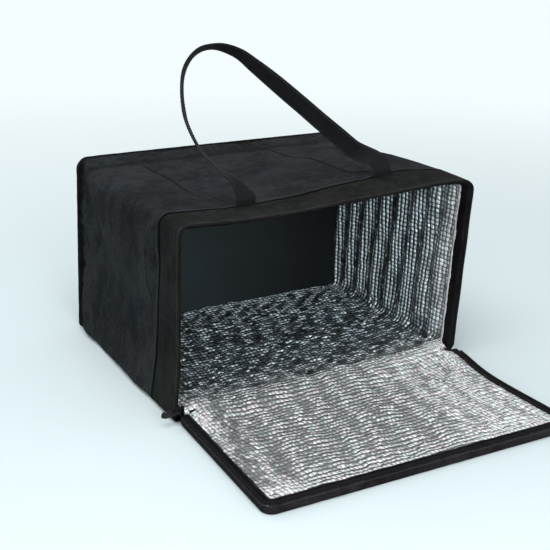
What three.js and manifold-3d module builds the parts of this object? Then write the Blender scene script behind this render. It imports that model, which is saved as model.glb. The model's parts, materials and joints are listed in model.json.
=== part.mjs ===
// Insulated cooler bag, lying on its back panel with its lid open in front of it.
// Millimetres. +Z is up, X runs across the mouth, the base is at +Y and the lid lies at -Y.
import * as THREE from 'three';
import { mergeVertices } from 'three/addons/utils/BufferGeometryUtils.js';
import Module from 'manifold-3d';

const wasm = await Module();
wasm.setup();

// Shell
const shellWidth = 400;
const shellDepth = 340;
const shellHeight = 240;
const topEdgeRadius = 14;
const bottomEdgeRadius = 6;
const arcSteps = 6;

// Layers of the wall, from outside to inside, and the gap between two that lie on each other
const fabric = 1.2;
const foam = 6;
const foil = 0.8;
const ply = 0.3;

// Piping round the base, which stands proud of the panels beside it
const pipingDiameter = 5;
const pipingProud = 2.4;

// Loose board that stiffens the base. It fits between the walls and stands clear of the base lining.
const boardThickness = 3;
const boardSetback = 32;

// Mouth
const bandDepth = 48;
const facingDepth = 12;

// Slack of the open bag's right wall: how far its upper edge is pulled out, and how far behind the
// band's seam it stands out most
const wallFlare = 12;
const flareBehindSeam = 27;
const flareSteps = 4;

// Zip: the tape stands proud of the mouth, and its coil runs along the free edge
const tapeReveal = 5;
const tapeOverlap = 8;
const tapeThickness = 0.8;
const tapeSetback = 1.5;
const coilWidth = 2;
const coilHeight = 1.3;
const coilSetback = 0.3;
const zipFootClearance = 0.6;
const zipStopHeight = 4.1;

// Lid and its hinge, a folded binding along the mouth's lower edge
const hingeHeight = 17;
const hingeBeadRadius = 1.2;
const hingeGap = 1.6;
const hingeFootDepth = 16;
const lidNearRadius = 11;
const lidFoam = 8;
const lidSlopeWidth = 18;
const lidSlopeRise = 1.4;
const lidFacingWidth = 8;

// Handles of flat webbing
const webWidth = 25;
const webThickness = 1.6;
const handleSpacing = 190;
const handleReach = 197;
const handleLean = 35;
const handleFootDrop = 0.5;
const handleSteps = 56;
const foldedReach = 165;
const foldedCorner = 18;
const anchorLength = 30;

// Zip slider and its pull tab
const sliderHeight = 11;
const sliderWidth = 7.2;
const sliderFaceThickness = 1.6;
const sliderBackThickness = 1.2;
const sliderPostWidth = 2;
const sliderPostHeight = 4;
const crownWidth = 2.6;
const crownThickness = 1.2;
const crownGap = 2.6;
const crownSpan = 9.2;
const tabLength = 20;
const tabWidth = 8;
const tabThickness = 1.6;
const tabBar = 1.4;
const tabEyeLength = 5.5;
const tabEyeClearance = 0.5;

// Outside of the shell: its underside is held off the ground by the piping and the hinge binding
const half = shellWidth / 2;
const low = pipingProud;
const high = pipingProud + shellHeight;
const shellBox = { left: -half, right: half, low, high };
const shellRadii = { low: bottomEdgeRadius, high: topEdgeRadius };

// Depths of the wall's layers below the outside
const underFabric = fabric + ply;
const tapeInner = underFabric + tapeThickness;
const underTape = tapeInner + ply;
const foamInner = underFabric + foam;
const liningOuter = foamInner + ply;
const liningInner = liningOuter + foil;

// Distances behind the mouth
const mouthEdge = tapeReveal;
const foamFront = mouthEdge + ply;
const tapeBack = mouthEdge + tapeOverlap;
const liningFront = mouthEdge + facingDepth;
const baseFoamBack = shellDepth - underFabric;
const baseFoamFront = baseFoamBack - foam;
const baseLiningBack = baseFoamFront - ply;
const baseLiningFront = baseLiningBack - foil;
const boardBack = baseLiningFront - boardSetback;

// Levels where the slack wall bends, from the facing to the base lining
const flareStart = liningFront + ply;
const flareMost = bandDepth + flareBehindSeam;
const flareEnd = baseLiningFront - ply;
const flareLevels = [flareStart, bandDepth, flareMost];
for (let step = 1; step <= flareSteps; step += 1) {
  flareLevels.push(flareMost + ((flareEnd - flareMost) * step) / flareSteps);
}

// Material of each finish
function finish(colour, roughness, metalness = 0) {
  return new THREE.MeshStandardMaterial({ color: colour, roughness, metalness });
}

const blackFabric = () => finish(0x2b2c2e, 0.9);
const blackTrim = () => finish(0x1c1d1f, 0.8);
const blackWebbing = () => finish(0x232427, 0.75);
const silverFoil = () => finish(0xb9bcbf, 0.35, 0.85);
const whiteFoam = () => finish(0xe8e8e4, 0.9);
const blackCoil = () => finish(0x141416, 0.45);
const darkMetal = () => finish(0x2a2b2d, 0.4, 0.7);
const greyBoard = () => finish(0x3a4048, 0.55);

// Outlines. A box with rounded corners is walked from its low left corner, up the left side and on
// round. An inset moves every side inwards and takes the same length off the corners' radii.
function corner(centreP, centreQ, radius, startDegrees) {
  const points = [];
  for (let i = 0; i <= arcSteps; i += 1) {
    const angle = THREE.MathUtils.degToRad(startDegrees - (90 * i) / arcSteps);
    points.push([centreP + radius * Math.cos(angle), centreQ + radius * Math.sin(angle)]);
  }
  return points;
}

function corners(box, radii, inset) {
  const smallest = 0.5;
  const lowRadius = Math.max(radii.low - inset, smallest);
  const highRadius = Math.max(radii.high - inset, smallest);
  const left = box.left + inset;
  const right = box.right - inset;
  const bottom = box.low + inset;
  const top = box.high - inset;
  return {
    lowLeft: corner(left + lowRadius, bottom + lowRadius, lowRadius, 270),
    highLeft: corner(left + highRadius, top - highRadius, highRadius, 180),
    highRight: corner(right - highRadius, top - highRadius, highRadius, 90),
    lowRight: corner(right - lowRadius, bottom + lowRadius, lowRadius, 0),
    left,
    right,
  };
}

// All the way round
function loopPath(box, radii) {
  return (inset) => {
    const c = corners(box, radii, inset);
    return [...c.lowLeft, ...c.highLeft, ...c.highRight, ...c.lowRight];
  };
}

// Up the left side, across and down the right side, as the zip runs
function archPath(box, radii, foot) {
  return (inset) => {
    const c = corners(box, radii, inset);
    return [[c.left, foot], ...c.highLeft, ...c.highRight, [c.right, foot]];
  };
}

// Along the low side and a little way up both ends, where the arch leaves off
function sillPath(box, radii, foot) {
  return (inset) => {
    const c = corners(box, radii, inset);
    return [[c.right, foot], ...c.lowRight, ...c.lowLeft, [c.left, foot]];
  };
}

// Places of an outline's point: on the shell the level is the distance behind the mouth, and on the
// lid it is the height above the ground, with the outline's second number the distance from the hinge
const onShell = ([p, q], level) => new THREE.Vector3(p, level, q);
const onLid = ([p, q], level) => new THREE.Vector3(p, -q, level - hingeHeight);

// The right wall leans out from its foot, most at its upper edge behind the band's seam, and is true
// again at the facing and at the base
function flareAt([p, q], level) {
  const reach = level < flareMost ? flareStart - flareMost : flareEnd - flareMost;
  const away = THREE.MathUtils.clamp((level - flareMost) / reach, 0, 1);
  const height = (q - low) / shellHeight;
  return p > 0 ? wallFlare * height * Math.cos((away * Math.PI) / 2) : 0;
}

const onSlackShell = ([p, q], level) => (
  new THREE.Vector3(p + flareAt([p, q], level), level, q)
);

// Triangles of a closed body made of rings of equal length. Where a quad is told to turn, it is split
// along its other diagonal.
function bodyOfRings(rings, joined, capTriangles, turned = []) {
  const count = rings[0].length;
  const index = [];
  const last = joined ? rings.length : rings.length - 1;
  for (let i = 0; i < last; i += 1) {
    const next = (i + 1) % rings.length;
    for (let j = 0; j < count; j += 1) {
      const beside = (j + 1) % count;
      const [a, b] = [i * count + j, next * count + j];
      const [c, d] = [next * count + beside, i * count + beside];
      index.push(...(turned[j] ? [a, b, d, b, c, d] : [a, b, c, a, c, d]));
    }
  }
  if (!joined) {
    const end = (rings.length - 1) * count;
    for (const [a, b, c] of capTriangles) {
      index.push(a, b, c);
      index.push(end + a, end + c, end + b);
    }
  }
  const geometry = new THREE.BufferGeometry().setFromPoints(rings.flat());
  geometry.setIndex(index);
  return facingOut(geometry);
}

function signedVolume(geometry) {
  const place = geometry.getAttribute('position');
  const index = geometry.getIndex();
  const corner3 = [new THREE.Vector3(), new THREE.Vector3(), new THREE.Vector3()];
  let total = 0;
  for (let i = 0; i < index.count; i += 3) {
    corner3.forEach((point, k) => point.fromBufferAttribute(place, index.getX(i + k)));
    total += corner3[0].dot(corner3[1].clone().cross(corner3[2])) / 6;
  }
  return total;
}

function facingOut(geometry) {
  if (signedVolume(geometry) < 0) {
    const index = Array.from(geometry.getIndex().array);
    for (let i = 0; i < index.length; i += 3) {
      [index[i + 1], index[i + 2]] = [index[i + 2], index[i + 1]];
    }
    geometry.setIndex(index);
  }
  geometry.computeVertexNormals();
  return geometry;
}

// Triangles of a flat end, wound the way that its points run
function polygonTriangles(points) {
  const flat = points.map(([u, v]) => new THREE.Vector2(u, v));
  const windsLeft = THREE.ShapeUtils.area(flat) > 0;
  return THREE.ShapeUtils.triangulateShape(flat, []).map(([a, b, c]) => {
    const turnsLeft = THREE.ShapeUtils.area([flat[a], flat[b], flat[c]]) > 0;
    return turnsLeft === windsLeft ? [a, b, c] : [a, c, b];
  });
}

// A strip of the given section, [inset, level] by [inset, level], run along a path
function strip(section, path, place, joined) {
  const sides = section.map(([inset]) => path(inset));
  const rings = sides[0].map((_, station) => (
    section.map(([, level], k) => place(sides[k][station], level))
  ));
  return bodyOfRings(rings, joined, polygonTriangles(section));
}

// A layer of the slack walls. Both its faces are split the same way, so that they keep their distance.
function layer(section, path) {
  const sides = section.map(([inset]) => path(inset));
  const rings = sides[0].map((_, station) => (
    section.map(([, level], k) => onSlackShell(sides[k][station], level))
  ));
  const turned = section.map(([, level], k) => level > section[(k + 1) % section.length][1]);
  return bodyOfRings(rings, true, [], turned);
}

// A plate whose edge follows a path, built up from [inset, level] steps, flat at both ends
function plate(steps, path, place) {
  const rings = steps.map(([inset, level]) => path(inset).map((point) => place(point, level)));
  return bodyOfRings(rings, false, polygonTriangles(path(steps[0][0])));
}

const rectangle = (insetA, insetB, levelA, levelB) => [
  [insetA, levelA],
  [insetB, levelA],
  [insetB, levelB],
  [insetA, levelB],
];

// Section of a layer of the walls, with points at the levels where the slack wall bends
function layerSection(outer, inner, from, to) {
  const bends = flareLevels.filter((level) => level > from && level < to);
  const levels = [from, ...bends, to];
  return [
    ...levels.map((level) => [outer, level]),
    ...levels.reverse().map((level) => [inner, level]),
  ];
}

// An outline of [distance behind the mouth, height] drawn out along X
function acrossBody(outline, from, to) {
  const shape = new THREE.Shape(outline.map(([u, v]) => new THREE.Vector2(u, v)));
  const geometry = new THREE.ExtrudeGeometry(shape, { depth: to - from, bevelEnabled: false });
  const turn = new THREE.Matrix4().makeBasis(
    new THREE.Vector3(0, 1, 0),
    new THREE.Vector3(0, 0, 1),
    new THREE.Vector3(1, 0, 0),
  );
  return welded(geometry.applyMatrix4(turn).translate(from, 0, 0));
}

function welded(geometry) {
  const bare = geometry.clone();
  bare.deleteAttribute('normal');
  bare.deleteAttribute('uv');
  return facingOut(mergeVertices(bare, 1e-5));
}

function boxBody([x0, x1], [y0, y1], [z0, z1]) {
  const geometry = new THREE.BoxGeometry(x1 - x0, y1 - y0, z1 - z0);
  return welded(geometry.translate((x0 + x1) / 2, (y0 + y1) / 2, (z0 + z1) / 2));
}

// Cutting and joining
function toManifold(geometry) {
  return new wasm.Manifold(new wasm.Mesh({
    numProp: 3,
    vertProperties: new Float32Array(geometry.getAttribute('position').array),
    triVerts: new Uint32Array(geometry.getIndex().array),
  }));
}

function fromManifold(solid) {
  const mesh = solid.getMesh();
  const geometry = new THREE.BufferGeometry();
  geometry.setAttribute('position', new THREE.BufferAttribute(new Float32Array(mesh.vertProperties), 3));
  geometry.setIndex(new THREE.BufferAttribute(new Uint32Array(mesh.triVerts), 1));
  geometry.computeVertexNormals();
  return geometry;
}

function cut(body, cutters) {
  return fromManifold(cutters.reduce((left, tool) => left.subtract(toManifold(tool)), toManifold(body)));
}

function join(bodies) {
  const [first, ...rest] = bodies.map(toManifold);
  return fromManifold(rest.reduce((sum, body) => sum.add(body), first));
}

function named(name, geometry, material) {
  const mesh = new THREE.Mesh(geometry, material);
  mesh.name = name;
  return mesh;
}

// The bag's own group has its zero at the middle of the hinge binding's foot
const bag = new THREE.Group();
bag.position.y = -hingeFootDepth / 2;
const whole = loopPath(shellBox, shellRadii);
const zipFoot = low + Math.max(bottomEdgeRadius, liningInner) + zipFootClearance;
const arch = archPath(shellBox, shellRadii, zipFoot);
const sill = sillPath(shellBox, shellRadii, zipFoot - ply);

// Handle anchors, the webbing's sewn ends: a tail under the wrap and a nose that comes up in the
// seam between the mouth band and the wrap
const anchorFront = bandDepth + ply;
const anchorPlaces = [
  ['front_anchor_left', -handleSpacing / 2, 'front'],
  ['front_anchor_right', handleSpacing / 2, 'front'],
  ['back_anchor_left', -handleSpacing / 2, 'back'],
  ['back_anchor_right', handleSpacing / 2, 'back'],
];
const tailOuter = underFabric;
const tailInner = tailOuter + webThickness;

// Height at a depth below the shell's front or back panel
function heightAt(depth, panel) {
  return panel === 'front' ? high - depth : low + depth;
}

function anchor(centre, panel) {
  const outline = [
    [anchorFront, 0],
    [anchorFront + webThickness, 0],
    [anchorFront + webThickness, tailOuter],
    [anchorFront + anchorLength, tailOuter],
    [anchorFront + anchorLength, tailInner],
    [anchorFront, tailInner],
  ].map(([behind, depth]) => [behind, heightAt(depth, panel)]);
  return acrossBody(outline, centre - webWidth / 2, centre + webWidth / 2);
}

// Room for an anchor, with a clearance of one ply all round
function anchorRoom(centre, panel, back, depth) {
  const reach = webWidth / 2 + ply;
  const beyond = 1;
  const heights = [heightAt(-beyond, panel), heightAt(depth, panel)].sort((a, b) => a - b);
  return boxBody([centre - reach, centre + reach], [bandDepth - ply, back], heights);
}

const noseBack = anchorFront + webThickness + ply;
const wrapNotches = anchorPlaces.map(([, x, panel]) => anchorRoom(x, panel, noseBack, fabric + ply));
const tailBack = anchorFront + anchorLength + ply;
const foamPockets = anchorPlaces.map(([, x, panel]) => anchorRoom(x, panel, tailBack, tailInner + ply));

for (const [name, x, panel] of anchorPlaces) {
  bag.add(named(name, anchor(x, panel), blackWebbing()));
}

// Outer fabric: the mouth band, and the wrap that goes on to the piping
const pipingCentreInset = pipingDiameter / 2 - pipingProud;
const pipingCentreLevel = shellDepth + pipingProud - pipingDiameter / 2;
const pipingFront = pipingCentreLevel - pipingDiameter / 2;
const pipingInner = pipingCentreInset + pipingDiameter / 2;

bag.add(named(
  'mouth_band',
  layer(layerSection(0, fabric, mouthEdge, bandDepth), whole),
  blackFabric(),
));
bag.add(named(
  'body_wrap',
  cut(layer(layerSection(0, fabric, anchorFront, pipingFront - ply), whole), wrapNotches),
  blackFabric(),
));

// Foam of the walls, thinner at the mouth where the zip tape is sewn between it and the band
const foamSection = [
  [underTape, foamFront],
  [underTape, tapeBack + ply],
  ...layerSection(underFabric, foamInner, tapeBack + ply, baseLiningBack),
  [foamInner, foamFront],
];
bag.add(named('body_foam', cut(layer(foamSection, whole), foamPockets), whiteFoam()));

// Foil lining of the walls, and the strip of it that runs out over the mouth's lower edge
bag.add(named(
  'body_lining',
  layer(layerSection(liningOuter, liningInner, flareStart, baseLiningBack), whole),
  silverFoil(),
));
bag.add(named(
  'sill_lining',
  strip(rectangle(liningOuter, liningInner, mouthEdge, liningFront), sill, onShell, false),
  silverFoil(),
));

// Fabric facing inside the mouth's other three sides, turned over the foam's front edge
const facingSection = [
  [underTape, mouthEdge - foil],
  [liningInner, mouthEdge - foil],
  [liningInner, liningFront],
  [liningOuter, liningFront],
  [liningOuter, mouthEdge],
  [underTape, mouthEdge],
];
bag.add(named('mouth_facing', strip(facingSection, arch, onShell, false), blackTrim()));

// Base, from outside to inside
const baseInset = pipingInner + ply;
const pipingFlat = pipingDiameter * Math.tan(Math.PI / 8) / 2;
const pipingHalf = pipingDiameter / 2;
const pipingSection = [
  [pipingHalf, pipingFlat],
  [pipingFlat, pipingHalf],
  [-pipingFlat, pipingHalf],
  [-pipingHalf, pipingFlat],
  [-pipingHalf, -pipingFlat],
  [-pipingFlat, -pipingHalf],
  [pipingFlat, -pipingHalf],
  [pipingHalf, -pipingFlat],
].map(([u, v]) => [pipingCentreInset + u, pipingCentreLevel + v]);

function basePlate(inset, from, to) {
  return plate([[inset, from], [inset, to]], whole, onShell);
}

bag.add(named('base_piping', strip(pipingSection, whole, onShell, true), blackTrim()));
bag.add(named('base_panel', basePlate(baseInset, shellDepth - fabric, shellDepth), blackFabric()));
bag.add(named('base_foam', basePlate(baseInset, baseFoamFront, baseFoamBack), whiteFoam()));
bag.add(named(
  'base_lining',
  basePlate(liningInner + ply, baseLiningFront, baseLiningBack),
  silverFoil(),
));
bag.add(named(
  'base_board',
  basePlate(liningInner + ply, boardBack - boardThickness, boardBack),
  greyBoard(),
));

// Zip on the mouth's three sides. The same section, turned over, runs round the lid.
const tapeFront = tapeSetback;
const coilFront = tapeSetback + coilSetback;
const coilOuter = fabric - coilHeight;

bag.add(named(
  'body_zip_tape',
  strip(rectangle(underFabric, tapeInner, tapeFront, tapeBack), arch, onShell, false),
  blackTrim(),
));
bag.add(named(
  'body_zip_coil',
  strip(rectangle(coilOuter, fabric, coilFront, coilFront + coilWidth), arch, onShell, false),
  blackCoil(),
));

// Stops at the zip's two feet
const stopOuter = coilOuter - ply;
const stopTop = zipFoot - ply;
for (const [name, side] of [['zip_stop_left', -1], ['zip_stop_right', 1]]) {
  const across = [side * (half - stopOuter), side * (half - underTape)].sort((a, b) => a - b);
  const body = boxBody(across, [coilFront, mouthEdge - ply], [stopTop - zipStopHeight, stopTop]);
  bag.add(named(name, body, blackTrim()));
}

// Binding along the hinge: a foot on the ground, a lip up the mouth's edge and a bead on the axis
const bindingBack = mouthEdge - ply;
const footTop = low - ply;
const bead = [];
for (let degrees = 0; degrees <= 180; degrees += 45) {
  const angle = THREE.MathUtils.degToRad(degrees);
  bead.push([hingeBeadRadius * Math.cos(angle), hingeHeight + hingeBeadRadius * Math.sin(angle)]);
}
const bindingSection = [
  [0, 0],
  [hingeFootDepth, 0],
  [hingeFootDepth, footTop],
  [bindingBack, footTop],
  [bindingBack, low + liningInner],
  ...bead,
  [0, hingeHeight - hingeBeadRadius],
];
const bindingReach = half - liningInner - ply;
bag.add(named('hinge_binding', acrossBody(bindingSection, -bindingReach, bindingReach), blackTrim()));

// Lid, in a group on the hinge's axis
const lid = new THREE.Group();
lid.position.z = hingeHeight;
const lidBox = { left: -half, right: half, low: hingeGap, high: high - hingeHeight };
const lidRadii = { low: lidNearRadius, high: topEdgeRadius };
const lidLoop = loopPath(lidBox, lidRadii);
const lidZipFoot = hingeGap + lidNearRadius + zipFootClearance;
const lidArch = archPath(lidBox, lidRadii, lidZipFoot);
const rimTop = hingeHeight - tapeReveal;
const lidFoamTop = underFabric + lidFoam;
const lidLiningTop = lidFoamTop + ply + foil;
const slopeInset = underTape + lidSlopeWidth;

lid.add(named('lid_panel', plate([[0, 0], [0, fabric]], lidLoop, onLid), blackFabric()));
lid.add(named(
  'lid_rim',
  strip(rectangle(0, fabric, underFabric, rimTop), lidLoop, onLid, true),
  blackFabric(),
));
lid.add(named(
  'lid_foam',
  plate(
    [[underTape, underFabric], [underTape, lidFoamTop + lidSlopeRise], [slopeInset, lidFoamTop]],
    lidLoop,
    onLid,
  ),
  whiteFoam(),
));
lid.add(named(
  'lid_lining',
  plate(
    [
      [slopeInset, lidFoamTop + ply],
      [underTape, lidFoamTop + ply + lidSlopeRise],
      [underTape, lidLiningTop + lidSlopeRise],
      [slopeInset, lidLiningTop],
    ],
    lidLoop,
    onLid,
  ),
  silverFoil(),
));
lid.add(named(
  'lid_zip_tape',
  strip(
    rectangle(underFabric, tapeInner, rimTop - tapeOverlap, hingeHeight - tapeFront),
    lidArch,
    onLid,
    false,
  ),
  blackTrim(),
));

// Facing over the border of the lid's lining, which lies on its slope
const borderTop = lidLiningTop + lidSlopeRise + ply;
const facingDrop = (lidSlopeRise * lidFacingWidth) / lidSlopeWidth;
const facingInset = underTape + lidFacingWidth;
lid.add(named(
  'lid_facing',
  strip(
    [
      [underTape, borderTop],
      [facingInset, borderTop - facingDrop],
      [facingInset, borderTop - facingDrop + tapeThickness],
      [underTape, borderTop + tapeThickness],
    ],
    lidArch,
    onLid,
    false,
  ),
  blackTrim(),
));

const lidCoilTop = hingeHeight - coilFront;
lid.add(named(
  'lid_zip_coil',
  strip(rectangle(coilOuter, fabric, lidCoilTop - coilWidth, lidCoilTop), lidArch, onLid, false),
  blackCoil(),
));
const lidEdgeReach = half - lidNearRadius;
lid.add(named(
  'lid_hinge_edge',
  boxBody(
    [-lidEdgeReach, lidEdgeReach],
    [-hingeGap - fabric, -hingeGap],
    [rimTop + ply - hingeHeight, -ply],
  ),
  blackTrim(),
));
bag.add(lid);

// Handles. Each hinges where its anchors' noses end, half a piping's height off the panel.
const handleAxisOffset = pipingProud / 2;
const handleAxisBehind = anchorFront + webThickness / 2;

// The front handle's loop leans back. Across is in halves of the spacing, up is a share of the
// reach, and the twist in degrees turns the webbing about its own length.
const loopStations = [
  [-1, 0, 0],
  [-1.02, 0.05, -34],
  [-1.09, 0.13, -72],
  [-1.19, 0.24, -86],
  [-1.3, 0.37, -80],
  [-1.38, 0.52, -68],
  [-1.38, 0.67, -63],
  [-1.29, 0.81, -64],
  [-1.08, 0.93, -70],
  [-0.8, 0.985, -76],
  [-0.45, 0.95, -68],
  [-0.14, 0.82, -50],
  [0.1, 0.65, -36],
  [0.4, 0.45, -30],
  [0.67, 0.28, -27],
  [0.86, 0.15, -20],
  [0.98, 0.06, -9],
  [1, 0, 0],
];

function loopHandle() {
  const route = new THREE.CatmullRomCurve3(
    loopStations.map(([across, up]) => new THREE.Vector3(across * handleSpacing / 2, 0, up * handleReach)),
    false,
    'catmullrom',
  );
  const twists = new THREE.SplineCurve(loopStations.map(([, , twist], i) => new THREE.Vector2(i, twist)));
  const forward = new THREE.Vector3(0, -1, 0);
  const upward = new THREE.Vector3(0, 0, 1);
  const rings = [];
  for (let i = 0; i <= handleSteps; i += 1) {
    const share = i / handleSteps;
    const atStart = i === 0;
    const atEnd = i === handleSteps;
    const along = route.getTangent(share);
    if (atStart) along.copy(upward);
    if (atEnd) along.copy(upward).negate();
    const inward = along.clone().cross(forward);
    const twist = THREE.MathUtils.degToRad(atStart || atEnd ? 0 : twists.getPoint(share).y);
    const across = inward.multiplyScalar(Math.cos(twist)).addScaledVector(forward, Math.sin(twist));
    const through = along.clone().cross(across).normalize();
    const centre = route.getPoint(share);
    if (atStart || atEnd) centre.z = -handleFootDrop;
    const ring = [[-1, -1], [1, -1], [1, 1], [-1, 1]].map(([a, b]) => (
      centre.clone()
        .addScaledVector(across, a * webWidth / 2)
        .addScaledVector(through, b * webThickness / 2)
    ));
    rings.push(ring);
  }
  return bodyOfRings(rings, false, [[0, 1, 2], [0, 2, 3]]);
}

const frontHandle = named('front_handle', loopHandle(), blackWebbing());
frontHandle.position.set(0, handleAxisBehind, high + handleAxisOffset);
frontHandle.rotation.x = THREE.MathUtils.degToRad(-handleLean);
bag.add(frontHandle);

// The back handle lies folded flat under the back panel, with its two corners folded across
function foldedHandle() {
  const outer = handleSpacing / 2 + webWidth / 2;
  const inner = handleSpacing / 2 - webWidth / 2;
  const shape = new THREE.Shape([
    [-outer, 0],
    [-inner, 0],
    [-inner, foldedReach - webWidth],
    [inner, foldedReach - webWidth],
    [inner, 0],
    [outer, 0],
    [outer, foldedReach - foldedCorner],
    [outer - foldedCorner, foldedReach],
    [-outer + foldedCorner, foldedReach],
    [-outer, foldedReach - foldedCorner],
  ].map(([u, v]) => new THREE.Vector2(u, v)));
  const geometry = new THREE.ExtrudeGeometry(shape, { depth: webThickness, bevelEnabled: false });
  return welded(geometry.translate(0, 0, -webThickness / 2));
}

const backHandle = named('back_handle', foldedHandle(), blackWebbing());
backHandle.position.set(0, handleAxisBehind, low - handleAxisOffset);
bag.add(backHandle);

// Zip slider on the left side of the mouth, at the zip's foot
const slider = new THREE.Group();
slider.position.set(-half, 0, zipFoot + zipFootClearance);
const faceInner = coilOuter - ply;
const faceOuter = faceInner - sliderFaceThickness;
const backOuter = underTape;
const backInner = backOuter + sliderBackThickness;
const crownMiddle = sliderHeight / 2;
const crownReach = crownSpan / 2;
const crownOuter = faceOuter - crownGap - crownThickness;
const across = (span) => [-span / 2, span / 2];
slider.add(named(
  'slider_body',
  join([
    boxBody([faceOuter, faceInner], across(sliderWidth), [0, sliderHeight]),
    boxBody([backOuter, backInner], across(sliderWidth), [0, sliderHeight]),
    boxBody(
      [(faceOuter + faceInner) / 2, (backOuter + backInner) / 2],
      across(sliderPostWidth),
      [sliderHeight - sliderPostHeight, sliderHeight],
    ),
  ]),
  darkMetal(),
));

// Crown, the bridge on the slider's face that the tab hangs on
slider.add(named(
  'slider_crown',
  join([
    boxBody(
      [crownOuter, faceOuter],
      across(crownWidth),
      [crownMiddle - crownReach, crownMiddle - crownReach + crownThickness],
    ),
    boxBody(
      [crownOuter, faceOuter],
      across(crownWidth),
      [crownMiddle + crownReach - crownThickness, crownMiddle + crownReach],
    ),
    boxBody(
      [crownOuter, crownOuter + crownThickness],
      across(crownWidth),
      [crownMiddle - crownReach, crownMiddle + crownReach],
    ),
  ]),
  darkMetal(),
));

// Pull tab: its bar passes under the crown, and the tab lies out to the left
function pullTab() {
  const side = tabWidth / 2;
  const eye = crownWidth / 2 + tabEyeClearance;
  const shape = new THREE.Shape();
  shape.moveTo(tabBar / 2, -side);
  shape.lineTo(tabBar / 2, side);
  shape.lineTo(side - tabLength, side);
  shape.absarc(side - tabLength, 0, side, Math.PI / 2, (3 * Math.PI) / 2, false);
  shape.lineTo(tabBar / 2, -side);
  const hole = new THREE.Path([
    [-tabBar / 2, -eye],
    [-tabBar / 2 - tabEyeLength, -eye],
    [-tabBar / 2 - tabEyeLength, eye],
    [-tabBar / 2, eye],
  ].map(([u, v]) => new THREE.Vector2(u, v)));
  shape.holes.push(hole);
  const settings = { depth: tabThickness, bevelEnabled: false, curveSegments: arcSteps };
  return welded(new THREE.ExtrudeGeometry(shape, settings).translate(0, 0, -tabThickness / 2));
}

const tab = named('pull_tab', pullTab(), darkMetal());
tab.position.set(faceOuter - crownGap / 2, 0, crownMiddle);
slider.add(tab);
bag.add(slider);

export default bag;
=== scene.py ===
import json
import math

import bpy
import numpy as np
from mathutils import Matrix, Vector


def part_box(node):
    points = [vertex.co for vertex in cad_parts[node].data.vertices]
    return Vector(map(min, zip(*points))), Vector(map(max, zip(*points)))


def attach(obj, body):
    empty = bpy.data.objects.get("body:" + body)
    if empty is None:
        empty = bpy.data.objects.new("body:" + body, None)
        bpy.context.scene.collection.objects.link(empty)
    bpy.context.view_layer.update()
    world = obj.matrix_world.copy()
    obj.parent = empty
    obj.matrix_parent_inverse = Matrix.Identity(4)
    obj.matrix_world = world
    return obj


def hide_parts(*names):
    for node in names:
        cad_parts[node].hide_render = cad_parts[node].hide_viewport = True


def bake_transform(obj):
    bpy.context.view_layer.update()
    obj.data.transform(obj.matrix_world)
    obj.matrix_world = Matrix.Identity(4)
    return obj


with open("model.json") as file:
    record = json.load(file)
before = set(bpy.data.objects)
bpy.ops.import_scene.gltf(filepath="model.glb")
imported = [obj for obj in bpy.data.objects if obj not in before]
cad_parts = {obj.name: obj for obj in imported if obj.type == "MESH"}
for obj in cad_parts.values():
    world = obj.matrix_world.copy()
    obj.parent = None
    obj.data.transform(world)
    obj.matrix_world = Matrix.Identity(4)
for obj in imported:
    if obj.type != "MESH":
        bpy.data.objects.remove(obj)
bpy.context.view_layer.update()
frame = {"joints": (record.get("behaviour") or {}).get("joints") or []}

bl_info = {
    "name": "Cooler bag dresser",
    "version": (1, 0, 0),
    "blender": (4, 5, 0),
    "location": "View3D > Sidebar > Cooler bag",
    "description": "Sews the soft shell, foil lining, zip and handles of an insulated bag round its frame",
    "category": "Object",
}

# Places that come from the frame, in metres
JOINTS = {joint["name"]: joint for joint in frame["joints"]}
MOUTH = JOINTS["lid_hinge"]["pos_m"][1]
HINGE = JOINTS["lid_hinge"]["pos_m"][2]
SHELL_LOW, SHELL_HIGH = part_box("body_wrap")
LINING_LOW, LINING_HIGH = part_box("body_lining")
# The right wall flares out at the mouth. The plain box that the pieces are set out on does not,
# so its right side mirrors the left.
SHELL_HIGH.x = -SHELL_LOW.x
LINING_HIGH.x = -LINING_LOW.x
BASE_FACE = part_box("base_panel")[1].y
TOP_RADIUS = 0.014
BOTTOM_RADIUS = 0.006
BAND_WIDTH = 0.043
STRAP_X = 0.095
WEBBING = 0.025
COIL_WIRE = 0.0003
BACKDROP = (0.90, 0.985, 1.0, 1)
MM = 0.001
# Steps between the stations of an outline: along its foot, its sides and its top, and round its corners
CLOTH_STEPS = (0.010, 0.0075, 0.0075, 0.004)
FABRIC_STEPS = (0.006, 0.0034, 0.0026, 0.0013)
STITCH_STEPS = (0.004, 0.0034, 0.0026, 0.0013)
ARCH_STEPS = (0.004, 0.0035, 0.0035, 0.0014)
PIPING_STEPS = (0.005, 0.004, 0.004, 0.0012)
LID_STEPS = (0.0035, 0.003, 0.003, 0.0013)


# Sizes and colours

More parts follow.
